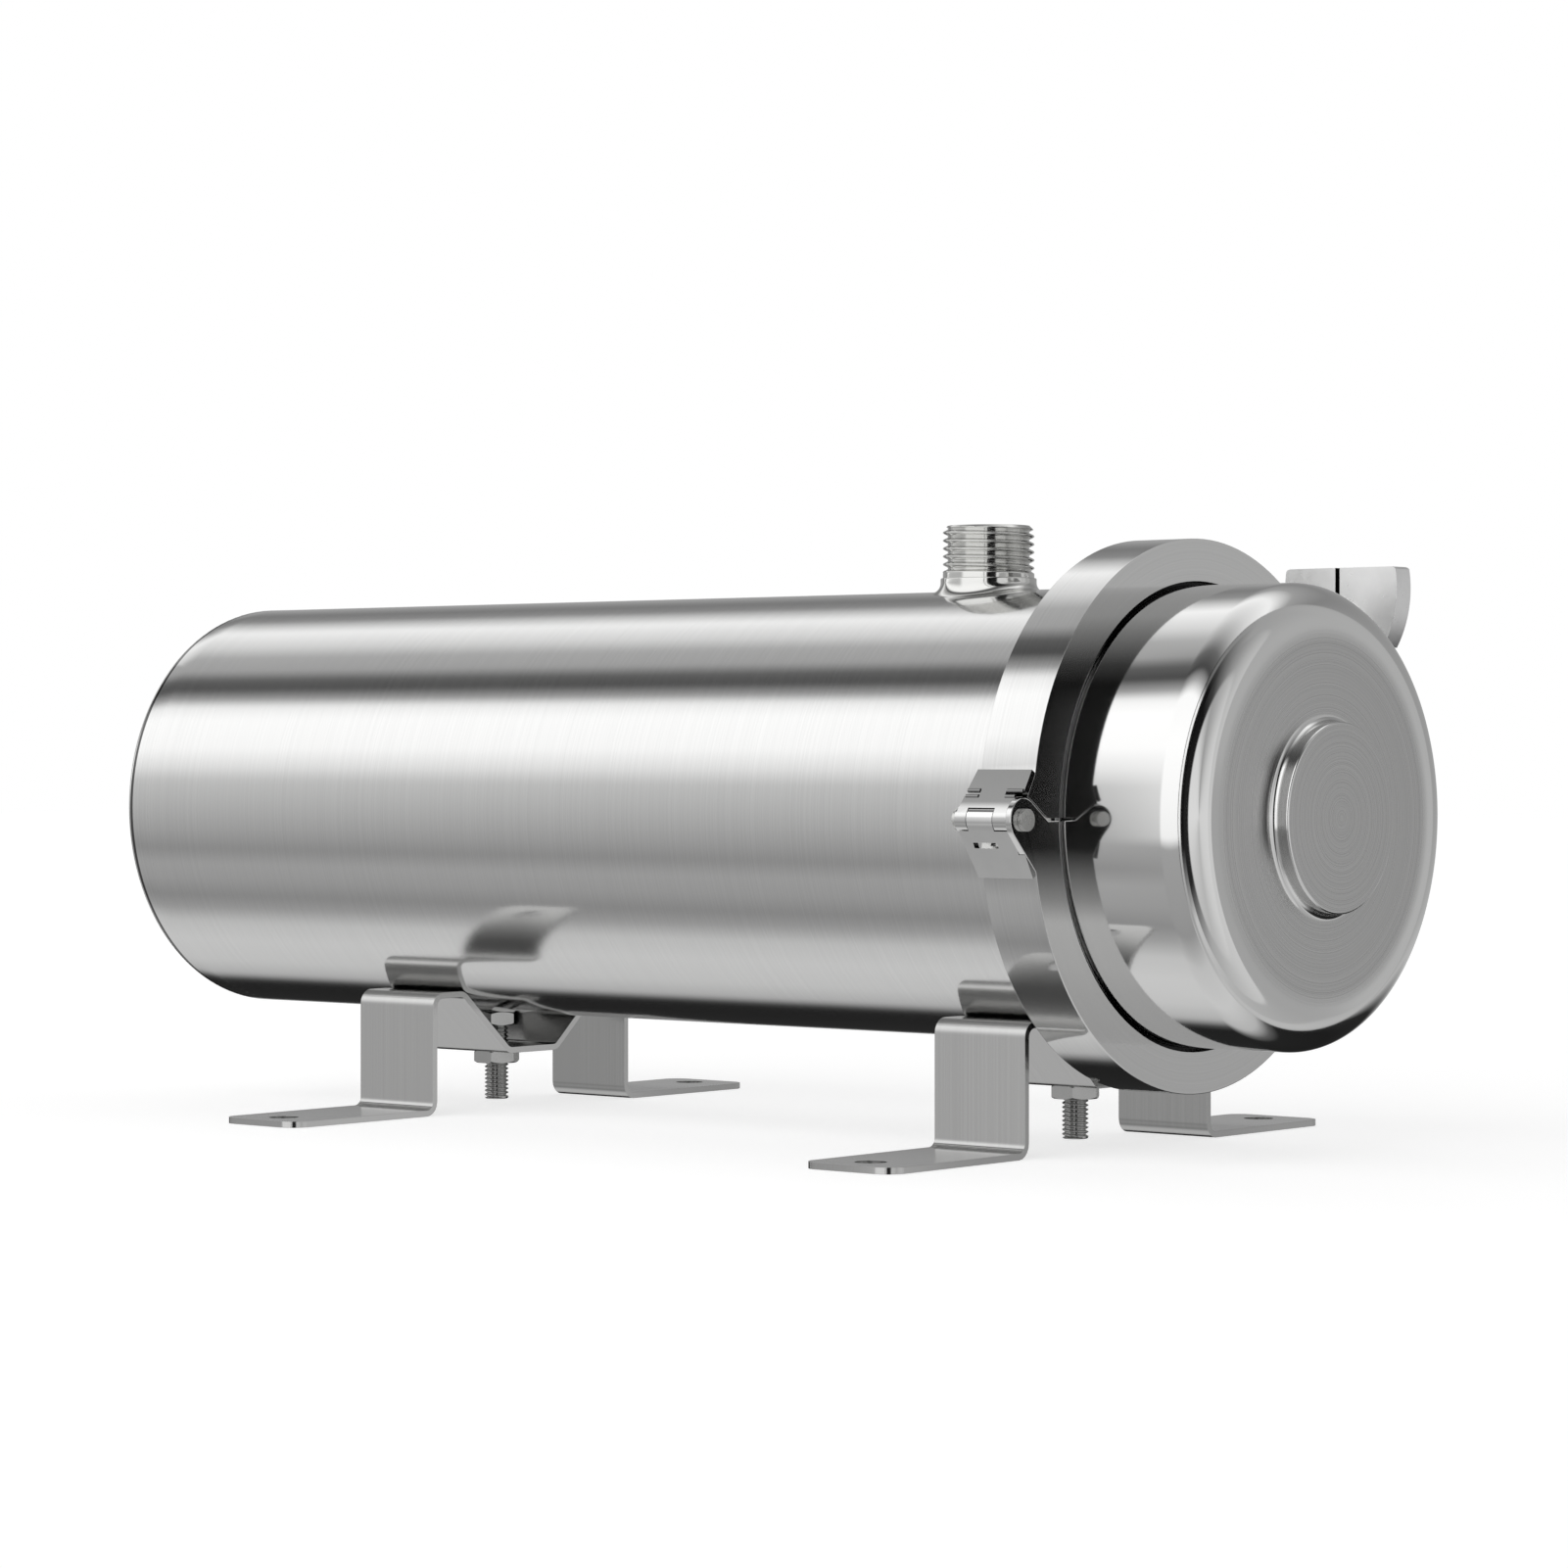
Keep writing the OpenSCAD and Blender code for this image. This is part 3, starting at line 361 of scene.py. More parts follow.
class Graph:
    """A node tree that is being written."""

    def __init__(self, tree):
        self.tree = tree
        tree.nodes.clear()

    def node(self, kind, settings=None, sockets=None, output=0):
        """Adds one node: its settings are set first, then each socket gets its value or link."""
        node = self.tree.nodes.new(kind)
        for key, value in (settings or {}).items():
            if key == "stops":
                self.set_stops(node.color_ramp, value)
            else:
                setattr(node, key, value)
        for key, value in (sockets or {}).items():
            self.feed(node.inputs[key], value)
        return Wire(self, node.outputs[output]) if output is not None else node

    def set_stops(self, ramp, stops):
        """Fills a colour ramp with stops of (place, grey)."""
        while len(ramp.elements) > 1:
            ramp.elements.remove(ramp.elements[-1])
        for k, (place, value) in enumerate(stops):
            element = ramp.elements[0] if k == 0 else ramp.elements.new(place)
            element.position = place
            element.color = (value, value, value, 1.0)

    def feed(self, socket, value):
        """Links a socket to a wire or sets its value."""
        if isinstance(value, Wire):
            self.tree.links.new(value.socket, socket)
        elif hasattr(value, "__len__") and len(value) == 3 and socket.type == "RGBA":
            socket.default_value = (*value, 1.0)
        else:
            socket.default_value = value

    def place(self):
        """Object coordinates in metres."""
        return self.node("ShaderNodeTexCoord", output="Object")

    def split(self, vector):
        """The three parts of a vector."""
        node = self.node("ShaderNodeSeparateXYZ", sockets={0: vector}, output=None)
        return [Wire(self, node.outputs[k]) for k in range(3)]

    def stretched(self, vector, scale):
        """A vector with each part multiplied by its own scale."""
        return self.node("ShaderNodeVectorMath", {"operation": "MULTIPLY"}, {0: vector, 1: scale})

    def noise(self, vector, detail, rough):
        """Noise over a place, around 0.5."""
        return self.node("ShaderNodeTexNoise", {"noise_dimensions": "3D"},
                         {"Vector": vector, "Scale": 1.0, "Detail": detail, "Roughness": rough}, output="Fac")

    def line_noise(self, value, detail, rough):
        """Noise along one number, around 0.5."""
        return self.node("ShaderNodeTexNoise", {"noise_dimensions": "1D"},
                         {"W": value, "Scale": 1.0, "Detail": detail, "Roughness": rough}, output="Fac")

    def blend(self, factor, a, b):
        """Colour a where the factor is 0 and b where it is 1."""
        return self.node("ShaderNodeMix", {"data_type": "RGBA"}, {0: factor, 6: a, 7: b}, output=2)

    def bump(self, height, distance):
        """A normal that is tilted by a height, which is worth the distance in metres where it is 1."""
        return self.node("ShaderNodeBump", sockets={"Height": height, "Distance": distance, "Strength": 1.0})


def surface(g, shade, roughness, normal, metallic=1.0):
    """Closes a material with the principled shader."""
    sockets = {"Base Color": shade, "Roughness": roughness, "Metallic": metallic, "Normal": normal}
    shader = g.node("ShaderNodeBsdfPrincipled", sockets=sockets)
    g.node("ShaderNodeOutputMaterial", sockets={"Surface": shader}, output=None)


def new_graph(name):
    """A new material and its empty node tree."""
    material = bpy.data.materials.new(name)
    material.use_nodes = True
    return material, Graph(material.node_tree)


def shade_pair(base, darker):
    """A colour and the same colour at a share of its brightness."""
    return tuple(base), tuple(c * darker for c in base)


def painted_shade(g, p, shade, base, shade_band):
    """Painted shade: near a place along one axis the colour falls to a share of itself.
    The shade band is (axis, place, reach, share), with X_AXIS or Z_AXIS as its axis."""
    if shade_band is None:
        return shade
    axis, place, reach, share = shade_band
    away = (g.split(p)[axis] - place).math("ABSOLUTE")
    return g.blend(away.step(reach, reach * 1.08 + 0.05 * MM), tuple(c * share for c in base), shade)


def brushed(name, base, roughness, depth, fine=4200.0, along=5.0, shade_band=None):
    """Sheet brushed at right angles to X: fine hairlines, broader streaks and an uneven sheen."""
    material, g = new_graph(name)
    p = g.place()
    hair = g.noise(g.stretched(p, (fine, along, along)), 3.0, 0.6)
    broad = g.noise(g.stretched(p, (fine / 7, along / 3, along / 3)), 2.0, 0.5)
    cloud = g.noise(g.stretched(p, (14.0, 14.0, 14.0)), 2.0, 0.5)
    light, dark = shade_pair(base, 0.94)
    mask = (hair * 0.8 + broad * 0.2).step(0.3, 0.7)
    shade = painted_shade(g, p, g.blend(mask, dark, light), base, shade_band)
    rough = roughness + (hair - 0.5) * 0.06 + (cloud - 0.5) * 0.03
    surface(g, shade, rough, g.bump(hair + broad * 0.3, depth))
    return material


def turned(name, base, roughness, fine=2200.0, depth=2.0e-6, contrast=0.92, crevice=0.0):
    """Metal turned or spun round the tube's axis: hairlines in rings, drawn by the distance from that axis.
    Inside the radius of a crevice it is painted near-black, as painted shade, down to a painted highlight 1
    mm further in: a pale band that is white and hardly metallic.
    The painted highlight only shows at the sides, up to 40 mm above and below the axis."""
    material, g = new_graph(name)
    p = g.place()
    x, y, z = g.split(p)
    radius = (y * y + (z - AXIS_HEIGHT) ** 2.0) ** 0.5
    ring = g.line_noise((radius + x) * fine, 3.0, 0.7)
    coarse = g.line_noise((radius - x) * (fine / 6), 2.0, 0.5)
    cloud = g.noise(g.stretched(p, (22.0, 22.0, 22.0)), 2.0, 0.5)
    light, dark = shade_pair(base, contrast)
    shade = g.blend((ring * 0.6 + coarse * 0.4).step(0.35, 0.65), dark, light)
    metallic = 1.0
    # Painted shade in the crevice, and a painted highlight just inside it, whose white colour and low
    # metallic stand in for light.
    if crevice:
        highlight_sides = 1.0 - (z - AXIS_HEIGHT).math("ABSOLUTE").step(28 * MM, 40 * MM)
        rim = (1.0 - radius.step(crevice - 1.1 * MM, crevice - 0.9 * MM)) * highlight_sides
        shade = g.blend(radius.step(crevice - 0.1 * MM, crevice + 0.2 * MM), (0.01, 0.01, 0.01), shade)
        shade = g.blend(rim, shade, (0.8, 0.8, 0.8))
        metallic = 1.0 - rim * 0.9
    rough = roughness * (1.0 + (ring - 0.5) * 0.4 + (cloud - 0.5) * 0.3)
    surface(g, shade, rough, g.bump(ring + coarse, depth), metallic)
    return material


def polished_cap(name, base, roughness, boss):
    """Polished barrel that turns into a lathe-cut face.
    The rings are deep on the flat face and fade out over the corner. The boss's wall stays polished."""
    material, g = new_graph(name)
    p = g.place()
    x, y, z = g.split(p)
    radius = (y * y + (z - AXIS_HEIGHT) ** 2.0) ** 0.5
    corner = radius.step(TUBE_RADIUS - 13 * MM, TUBE_RADIUS - 9 * MM)
    front = x.step(CAP_HIGH[0] - 9 * MM, CAP_HIGH[0] - 5 * MM)
    fillet_end = radius.step(boss + 1.2 * MM, boss + 1.8 * MM)
    boss_wall = radius.step(boss - 0.6 * MM, boss - 0.3 * MM) * (1.0 - fillet_end)
    face = (1.0 - corner) * front * (1.0 - boss_wall)
    ring = g.line_noise(radius * 3400.0, 2.0, 0.6)
    coarse = g.line_noise(radius * 700.0, 2.0, 0.5)
    drawn = g.line_noise(x * 1500.0, 2.0, 0.5)
    cloud = g.noise(g.stretched(p, (25.0, 25.0, 25.0)), 2.0, 0.5)
    light, dark = shade_pair(base, 0.6)
    shade = g.blend(face * (1.0 - (ring * 0.8 + coarse * 0.2).step(0.2, 0.8) * 0.5), light, dark)
    rough = roughness + face * 0.22 + (cloud - 0.5) * 0.03 + (ring - 0.5) * face * 0.12
    height = (ring + coarse * 0.15) * face * 9.0 + drawn * 0.2
    surface(g, shade, rough, g.bump(height, 1.0e-6))
    return material


def plain_metal(name, base, roughness, grain=900.0, depth=3e-6, mottle=0.88, shade_band=None):
    """Plain steel: fine grain, which makes the sheen uneven, and a faint mottle."""
    material, g = new_graph(name)
    p = g.place()
    grain_value = g.noise(g.stretched(p, (grain, grain, grain)), 3.0, 0.6)
    cloud = g.noise(g.stretched(p, (160.0, 160.0, 160.0)), 2.0, 0.5)
    light, dark = shade_pair(base, mottle)
    shade = painted_shade(g, p, g.blend(cloud.step(0.3, 0.7), dark, light), base, shade_band)
    rough = roughness * (1.0 + (grain_value - 0.5) * 0.5)
    surface(g, shade, rough, g.bump(grain_value, depth))
    return material


def moulding(name, base, roughness, mottle=0.95):
    """Moulded plastic, rubber or resin: fine even texture with a faint mottle."""
    material, g = new_graph(name)
    p = g.place()
    grain_value = g.noise(g.stretched(p, (1400.0, 1400.0, 1400.0)), 2.0, 0.5)
    cloud = g.noise(g.stretched(p, (60.0, 60.0, 60.0)), 2.0, 0.5)
    light, dark = shade_pair(base, mottle)
    shade = g.blend(cloud.step(0.3, 0.7), dark, light)
    surface(g, shade, roughness + (grain_value - 0.5) * 0.1, g.bump(grain_value, 8e-6), 0.0)
    return material


def fibres(name, base):
    """Packed hollow fibres: a speckle of their ends, drawn out along X."""
    material, g = new_graph(name)
    p = g.place()
    strand = g.node("ShaderNodeTexVoronoi", {"voronoi_dimensions": "3D"},
                    {"Vector": g.stretched(p, (12.0, 700.0, 700.0)), "Scale": 1.0}, output="Distance")
    light, dark = shade_pair(base, 0.7)
    shade = g.blend(strand.step(0.2, 0.8), light, dark)
    surface(g, shade, 0.6 + strand * 0.2, g.bump(1.0 - strand, 2e-4), 0.0)
    return material


def smoothing_group():
    """A modifier tree that shades faces smooth and keeps edges over the smooth angle sharp."""
    name = "smooth_faces"
    if name in bpy.data.node_groups:
        return bpy.data.node_groups[name]
    tree = bpy.data.node_groups.new(name, "GeometryNodeTree")
    tree.interface.new_socket("Geometry", in_out="INPUT", socket_type="NodeSocketGeometry")
    tree.interface.new_socket("Geometry", in_out="OUTPUT", socket_type="NodeSocketGeometry")
    g = Graph(tree)
    start = g.node("NodeGroupInput")
    angle = g.node("GeometryNodeInputMeshEdgeAngle")
    sharp = g.node("FunctionNodeCompare", {"data_type": "FLOAT", "operation": "GREATER_THAN"},
                   {0: angle, 1: math.radians(SMOOTH_ANGLE)})
    smooth = g.node("GeometryNodeSetShadeSmooth", {"domain": "FACE"},
                    {"Geometry": start, "Shade Smooth": True})
    edges = g.node("GeometryNodeSetShadeSmooth", {"domain": "EDGE"},
                   {"Geometry": smooth, "Selection": sharp, "Shade Smooth": False})
    g.node("NodeGroupOutput", sockets={0: edges}, output=None)
    return tree


def finish_node(node, material, bevel=0.0, segments=2):
    """Gives a solid its material, smooth shading and, with a bevel, softened edges."""
    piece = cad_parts[node]
    for entry in piece.material_slots:
        entry.material = material
    weld = piece.modifiers.new("weld", "WELD")
    weld.merge_threshold = 2e-6
    piece.modifiers.new("smooth", "NODES").node_group = smoothing_group()
    if bevel > 0:
        edge = piece.modifiers.new("edges", "BEVEL")
        edge.width = bevel
        edge.segments = segments
        edge.limit_method = "ANGLE"
        edge.angle_limit = math.radians(40)
        edge.harden_normals = True


class PieceOperator:
    """What the operators share."""

    bl_options = {"REGISTER", "UNDO"}

    def sizes(self, context):
        """All sizes, colours and stage settings."""
        return context.scene.purifier


class PURIFIER_OT_housing(PieceOperator, bpy.types.Operator):
    """Builds the brushed tube and finishes the rear head and flanges"""

    bl_idname = "purifier.housing"
    bl_label = "Housing"

    def execute(self, context):
        sizes = self.sizes(context)
        paint = sizes.finish
        steel = brushed("tube_brushed", paint.tube, paint.tube_roughness, TUBE_BRUSH_DEPTH)
        rows = int(round((TUBE_HIGH[0] - TUBE_LOW[0]) / sizes.housing.line_step)) + 1
        x = np.linspace(TUBE_LOW[0], TUBE_HIGH[0], rows)
        profile = np.stack([x, np.full(rows, TUBE_RADIUS)], axis=-1)
        points = spin(profile, TUBE_SEGMENTS) + np.array([0, 0, AXIS_HEIGHT])
        faces = grid_faces(rows, TUBE_SEGMENTS, wrap_cols=True)
        middle = points.reshape(-1, 3)[faces].mean(axis=1)
        away = np.hypot(middle[:, 0] - PORT_X, middle[:, 1])
        keep = (away > sizes.housing.opening) | (middle[:, 2] < AXIS_HEIGHT)
        shell = Shape().add(points, faces[keep])
        tube = make_piece("tube_shell", shell, steel, ROOT, ["housing_tube"])
        wall = tube.modifiers.new("wall", "SOLIDIFY")
        wall.thickness = sizes.housing.wall
        wall.offset = -1
        tube.modifiers.new("smooth", "NODES").node_group = smoothing_group()
        spun = turned("head_spun", paint.cap, 0.2)
        lathe = turned("flange_turned", paint.turned, 0.22, crevice=TUBE_RADIUS + 1.4 * MM)
        # Painted shade: a dark line at 15 % of the colour, painted round the rear head 2 mm in from its back
        # end.
        rim = (X_AXIS, node_box("rear_head")[0][0] + 2 * MM, 0.4 * MM, 0.15)
        head = brushed("head_brushed", paint.tube, paint.tube_roughness, TUBE_BRUSH_DEPTH, shade_band=rim)
        finish_node("rear_head", head)
        finish_node("housing_ferrule", lathe, 0.15 * MM)
        finish_node("cap_ferrule", lathe, 0.15 * MM)
        finish_node("clamp_gasket", moulding("gasket_silicone", (0.82, 0.82, 0.80), 0.5))
        finish_node("outlet_socket", spun, 0.2 * MM)
        return {"FINISHED"}


class PURIFIER_OT_ports(PieceOperator, bpy.types.Operator):
    """Builds the three threaded ports with their collars and weld fillets"""

    bl_idname = "purifier.ports"
    bl_label = "Ports"

    def body(self, size):
        """Points of a port that stands on Z, and the height of its mouth.
        The closed profile runs up the collar and the thread, over the rim and down the bore."""
        top = size.collar_top + size.thread
        outside = rounded(
            [(0.0, size.bore), (0.0, size.collar), (size.collar_step, size.collar),
             (size.collar_step, size.crest), (top, size.crest), (top, size.bore + 0.9 * MM),
             (top - 0.6 * MM, size.bore), (0.0, size.bore)],
            [0, 0, 0.25 * MM, 0, 0, 0.2 * MM, 0.2 * MM, 0], 4)
        rows = with_thread_rows(outside, size.collar_step, top, size.pitch / 24)
        points = threaded(rows, PORT_SEGMENTS, size.pitch, size.depth, size.collar_top, top, 0.5, size.mouth)
        return points, top

    def execute(self, context):
        sizes = self.sizes(context)
        size, paint = sizes.port, sizes.finish
        steel = plain_metal("port_turned", paint.turned, 0.09, grain=300.0, depth=0.3e-6, mottle=0.96)
        weld_steel = plain_metal("weld_polished", paint.turned, 0.12, grain=300.0, depth=1e-6, mottle=0.96)
        points, top = self.body(size)
        foot = PORT_HIGH[2] - top
        inlet = Shape().grid(points, wrap_cols=True, move=(PORT_X, 0, foot))
        make_piece("inlet_thread", inlet, steel, ROOT, ["inlet_port"], THREAD_SHARP)
        self.saddle_weld(size, foot, weld_steel)
        for name in ("outlet_port", "flush_port"):
            low, high = node_box(name)
            centre = (low + high) / 2
            laid = np.stack([high[0] - points[..., 2], points[..., 0], points[..., 1]], axis=-1)
            shape = Shape().grid(laid, wrap_cols=True, move=(0, centre[1], centre[2]))
            fillet = spin(self.flat_weld(size), FILLET_SEGMENTS) * np.array([-1, 1, 1])
            shape.grid(fillet, wrap_rows=True, wrap_cols=True, move=(high[0], centre[1], centre[2]))
            thread_name = name.replace("_port", "_thread")
            make_piece(thread_name, shape, steel, ROOT, [name], THREAD_SHARP)
        return {"FINISHED"}

    def flat_weld(self, size):
        """A closed section of (height, radius): a concave quarter round in the corner of the collar and a
        flat wall, sunk a little into both."""
        t = np.linspace(0, math.pi / 2, 13)
        reach = size.weld
        arc = np.stack([reach - reach * np.cos(t), size.collar + reach - reach * np.sin(t)], axis=-1)
        back, under = size.collar - 0.2 * MM, -0.05 * MM
        return np.concatenate([arc, [[reach, back], [under, back], [under, size.collar + reach]]])

    def saddle_weld(self, size, foot, material):
        """A flared neck between the collar and the round of the tube.
        At angle t round the port and angle s along the flare, the radius runs from the weld's reach to the
        collar as 1 - sin s, and the height runs from the tube's own surface, sqrt(R^2 - y^2), to the collar
        as 1 - cos s."""
        t = np.arange(SADDLE_SEGMENTS) * TURN / SADDLE_SEGMENTS
        s = np.linspace(0, math.pi / 2, 15)[:, None]
        reach = size.weld + 0.5 * MM
        radius = size.collar + reach * (1 - np.sin(s)) + np.zeros_like(t)
        edge = (size.collar + reach) * np.cos(t)[None, :]
        ground = AXIS_HEIGHT + np.sqrt(TUBE_RADIUS ** 2 - edge ** 2) - 0.02 * MM
        upper = foot + 2.4 * MM
        height = ground + (upper - ground) * (1 - np.cos(s))
        outer = np.stack([PORT_X + radius * np.sin(t), radius * np.cos(t), height], axis=-1)
        inner = size.collar - 0.3 * MM
        inner_x, inner_y = PORT_X + inner * np.sin(t), inner * np.cos(t)
        rim = np.stack([inner_x, inner_y, np.full_like(t, upper)], axis=-1)
        under = np.stack([inner_x, inner_y, ground[0] - 0.6 * MM], axis=-1)
        flare = Shape().grid(np.concatenate([outer, rim[None], under[None]]), wrap_rows=True, wrap_cols=True)
        make_piece("inlet_weld", flare, material, ROOT, ["inlet_port"], WELD_SHARP)


class PURIFIER_OT_end_cap(PieceOperator, bpy.types.Operator):
    """Builds the polished end cap with its raised boss"""

    bl_idname = "purifier.end_cap"
    bl_label = "End cap"

    def execute(self, context):
        sizes = self.sizes(context)
        size, paint = sizes.cap, sizes.finish
        top = CAP_HIGH[0]
        face = top - size.boss_height
        wall = size.wall
        edge = 0.3 * MM
        outer = rounded(
            [(CAP_LOW[0], TUBE_RADIUS - edge), (CAP_LOW[0], TUBE_RADIUS), (face, TUBE_RADIUS),
             (face, size.boss_radius), (top, size.boss_radius), (top, 0.0)],
            [0, edge, size.corner, size.boss_foot, size.boss_rim, 0], 20)
        inner = rounded(
            [(top - wall, 0.0), (top - wall, size.boss_radius - wall), (face - wall, size.boss_radius - wall),
             (face - wall, TUBE_RADIUS - wall), (CAP_LOW[0], TUBE_RADIUS - wall),
             (CAP_LOW[0], TUBE_RADIUS - edge)],
            [0, edge, edge, size.corner - wall, 0, 0], 8)
        points = spin(np.concatenate([inner, outer[1:]]), TUBE_SEGMENTS) + np.array([0, 0, AXIS_HEIGHT])
        steel = polished_cap("cap_polished", paint.cap, paint.cap_roughness, size.boss_radius)
        dome = Shape().grid(points, wrap_cols=True)
        make_piece("cap_dome", dome, steel, ROOT, ["end_cap"], CAP_SHARP)
        return {"FINISHED"}


class PURIFIER_OT_clamp(PieceOperator, bpy.types.Operator):
    """Finishes the clamp ring, its hinge and its latch sheet"""

    bl_idname = "purifier.clamp"
    bl_label = "Clamp ring"

    def execute(self, context):
        paint = self.sizes(context).finish
        sheet = turned("clamp_sheet", paint.clamp, 0.075, fine=1500.0, depth=0.4e-6, contrast=0.95)
        leaf_grain = {"grain": 400.0, "depth": 0.5e-6, "mottle": 0.96}
        # Painted shade: the upper hinge leaf falls to 40 % of its colour from 4 mm to 44 mm above the axis.
        upper = (Z_AXIS, AXIS_HEIGHT + 24 * MM, 20 * MM, 0.4)
        # Painted light: the lower leaf, the latch seat and the latch ears get a lighter copy of the clamp's
        # sheet.
        lit_leaf = plain_metal("leaf_painted_light", (0.93, 0.93, 0.925), 0.08, **leaf_grain)
        shaded_leaf = plain_metal("leaf_painted_shade", paint.clamp, 0.08, shade_band=upper, **leaf_grain)
        for node in ("clamp_upper", "clamp_lower"):
            finish_node(node, sheet, 0.3 * MM, 3)
        finish_node("upper_hinge_leaf", shaded_leaf, 0.12 * MM)
        for node in ("lower_hinge_leaf", "upper_latch_seat", "lower_latch_ears"):
            finish_node(node, lit_leaf, 0.12 * MM)
        finish_node("hinge_pin", plain_metal("pin_steel", paint.turned, 0.4), 0.25 * MM, 3)
        return {"FINISHED"}


class PURIFIER_OT_latch(PieceOperator, bpy.types.Operator):
    """Builds the swing bolt and finishes the wing nut, washer and pivot"""

    bl_idname = "purifier.latch"
    bl_label = "Latch"

    def execute(self, context):
        sizes = self.sizes(context)
        size, paint = sizes.fastener, sizes.finish
        steel = plain_metal("bolt_steel_plain", paint.bolt, 0.25)
        centre = (BOLT_LOW + BOLT_HIGH) / 2
        eye_radius = (BOLT_HIGH[1] - BOLT_LOW[1]) / 2
        pivot = BOLT_LOW[2] + eye_radius
        half = (BOLT_HIGH[0] - BOLT_LOW[0]) / 2
        bore = 3.05 * MM
        edge = 0.8 * MM
        ring = rounded([(-half, bore), (-half, eye_radius), (half, eye_radius), (half, bore), (-half, bore)],
                       [0, edge, edge, 0, 0], 6)
        shape = Shape().grid(spin(ring, BOLT_SEGMENTS), wrap_cols=True, move=(centre[0], centre[1], pivot))
        eye_top = pivot + eye_radius
        low, high = eye_top - 1.2 * MM, BOLT_HIGH[2]
        shaft = rounded([(low, 0.0), (low, size.bolt_radius), (high, size.bolt_radius), (high, 0.0)],
                        [0, 0, edge, 0], 3)
        rows = with_thread_rows(shaft, low, high, size.bolt_pitch / 12)
        points = threaded(
            rows, BOLT_SEGMENTS, size.bolt_pitch, BOLT_THREAD_DEPTH, eye_top + 3 * MM, high, 1.0)
        shape.grid(points, wrap_cols=True, move=(centre[0], centre[1], 0))
        make_piece("swing_bolt_threaded", shape, steel, "bolt", ["swing_bolt"], THREAD_SHARP)
        # Painted shade: the slit between the wings is painted near-black, at 2 % of the nut's colour.
        slit_shade = (X_AXIS, centre[0], 0.55 * MM, 0.02)
        cast = plain_metal("wing_cast", paint.cast, 0.3, grain=600.0, depth=1e-6, mottle=0.96, shade_band=slit_shade)
        finish_node("wing_nut", cast, 0.5 * MM, 3)
        finish_node("nut_washer", steel, 0.2 * MM)
        finish_node("bolt_pivot_pin", steel, 0.3 * MM, 3)
        return {"FINISHED"}


class PURIFIER_OT_brackets(PieceOperator, bpy.types.Operator):
    """Finishes the brackets and builds their threaded studs and hexagon nuts"""

    bl_idname = "purifier.brackets"
    bl_label = "Brackets"

    def hexagon(self, low, high, flats, bore, x):
        """A hexagon nut round Z, with cones of 30 degrees that cut its corners at both ends.
        Its radius at angle t is flats / (2 cos(t + 30 modulo 60 - 30))."""
        t = np.arange(HEXAGON_SEGMENTS) * TURN / HEXAGON_SEGMENTS
        edge = flats / 2 / np.cos((t + math.radians(30)) % math.radians(60) - math.radians(30))
        flat = flats / 2 - 0.05 * MM
        drop = (edge - flat) * math.tan(math.radians(30))
        zero = np.zeros_like(t)
        rings = [(bore + zero, low + zero), (flat + zero, low + zero), (edge, low + drop),
                 (edge, high - drop), (flat + zero, high + zero), (bore + zero, high + zero),
                 (bore + zero, low + zero)]
        return np.stack([np.stack([x + r * np.sin(t), r * np.cos(t), z], axis=-1) for r, z in rings])

    def execute(self, context):
        sizes = self.sizes(context)
        size, paint = sizes.fastener, sizes.finish
        # Painted shade on the feet: the brackets' sheet is 5 % darker in a thin band 1.2 to 1.8 mm above the
        # floor.
        foot = (Z_AXIS, 1.5 * MM, 0.3 * MM, 0.95)
        sheet = brushed("bracket_brushed", paint.bracket, 0.15, 0.8e-6, fine=3200.0, along=10.0, shade_band=foot)
        steel = plain_metal("fastener_plain", paint.bolt, 0.18, grain=900.0, depth=1e-6, mottle=0.94)
        for node in ("front_bracket", "rear_bracket"):
            finish_node(node, sheet, 0.3 * MM)
        stud_low, stud_high = node_box("mounting_studs")
        nut_low, nut_high = node_box("bracket_nuts")
        hex_bottom = node_box("stud_weld_hexes")[0][2]
        hex_top = hex_bottom + 3.35 * MM
        low, high = stud_low[2], stud_high[2]
        radius, flats = size.stud_radius, size.flats
        outline = rounded([(low, 0.0), (low, radius), (high, radius), (high, 0.0)], [0, 0.5 * MM, 0, 0], 3)
        rows = with_thread_rows(outline, low, high, size.stud_pitch / 10)
        stud = threaded(rows, STUD_SEGMENTS, size.stud_pitch, STUD_THREAD_DEPTH, low + 0.1 * MM, high, 0.3)
        studs, nuts, hexes = Shape(), Shape(), Shape()
        for x in (stud_low[0] + radius, stud_high[0] - radius):
            studs.grid(stud, wrap_cols=True, move=(x, 0, 0))
            nuts.grid(self.hexagon(nut_low[2], nut_high[2], flats, radius, x), wrap_cols=True)
            hexes.grid(self.hexagon(hex_bottom, hex_top, flats, radius, x), wrap_cols=True)
        for name, shape, node, sharp in (("stud_threads", studs, "mounting_studs", THREAD_SHARP),
                                         ("nuts_under_brackets", nuts, "bracket_nuts", HEXAGON_SHARP),
                                         ("hexes_under_tube", hexes, "stud_weld_hexes", HEXAGON_SHARP)):
            make_piece(name, shape, steel, ROOT, [node], sharp)
        return {"FINISHED"}


class PURIFIER_OT_cartridge(PieceOperator, bpy.types.Operator):
    """Finishes the membrane cartridge inside the housing"""

    bl_idname = "purifier.cartridge"
    bl_label = "Membrane cartridge"

    def execute(self, context):
        paint = self.sizes(context).finish
        plastic = moulding("cartridge_plastic", paint.plastic, 0.4)
        rubber = moulding("ring_rubber", (0.02, 0.02, 0.02), 0.55)
        for node in ("collector_fitting", "cartridge_sleeve", "grip_fitting", "centring_ring"):
            finish_node(node, plastic)
        for node in ("spigot_o_rings", "end_buffer"):
            finish_node(node, rubber)
        finish_node("potted_end", moulding("potting_resin", (0.62, 0.50, 0.24), 0.2, mottle=0.85))
        finish_node("fibre_bundle", fibres("membrane_fibres", (0.86, 0.84, 0.78)))
        return {"FINISHED"}


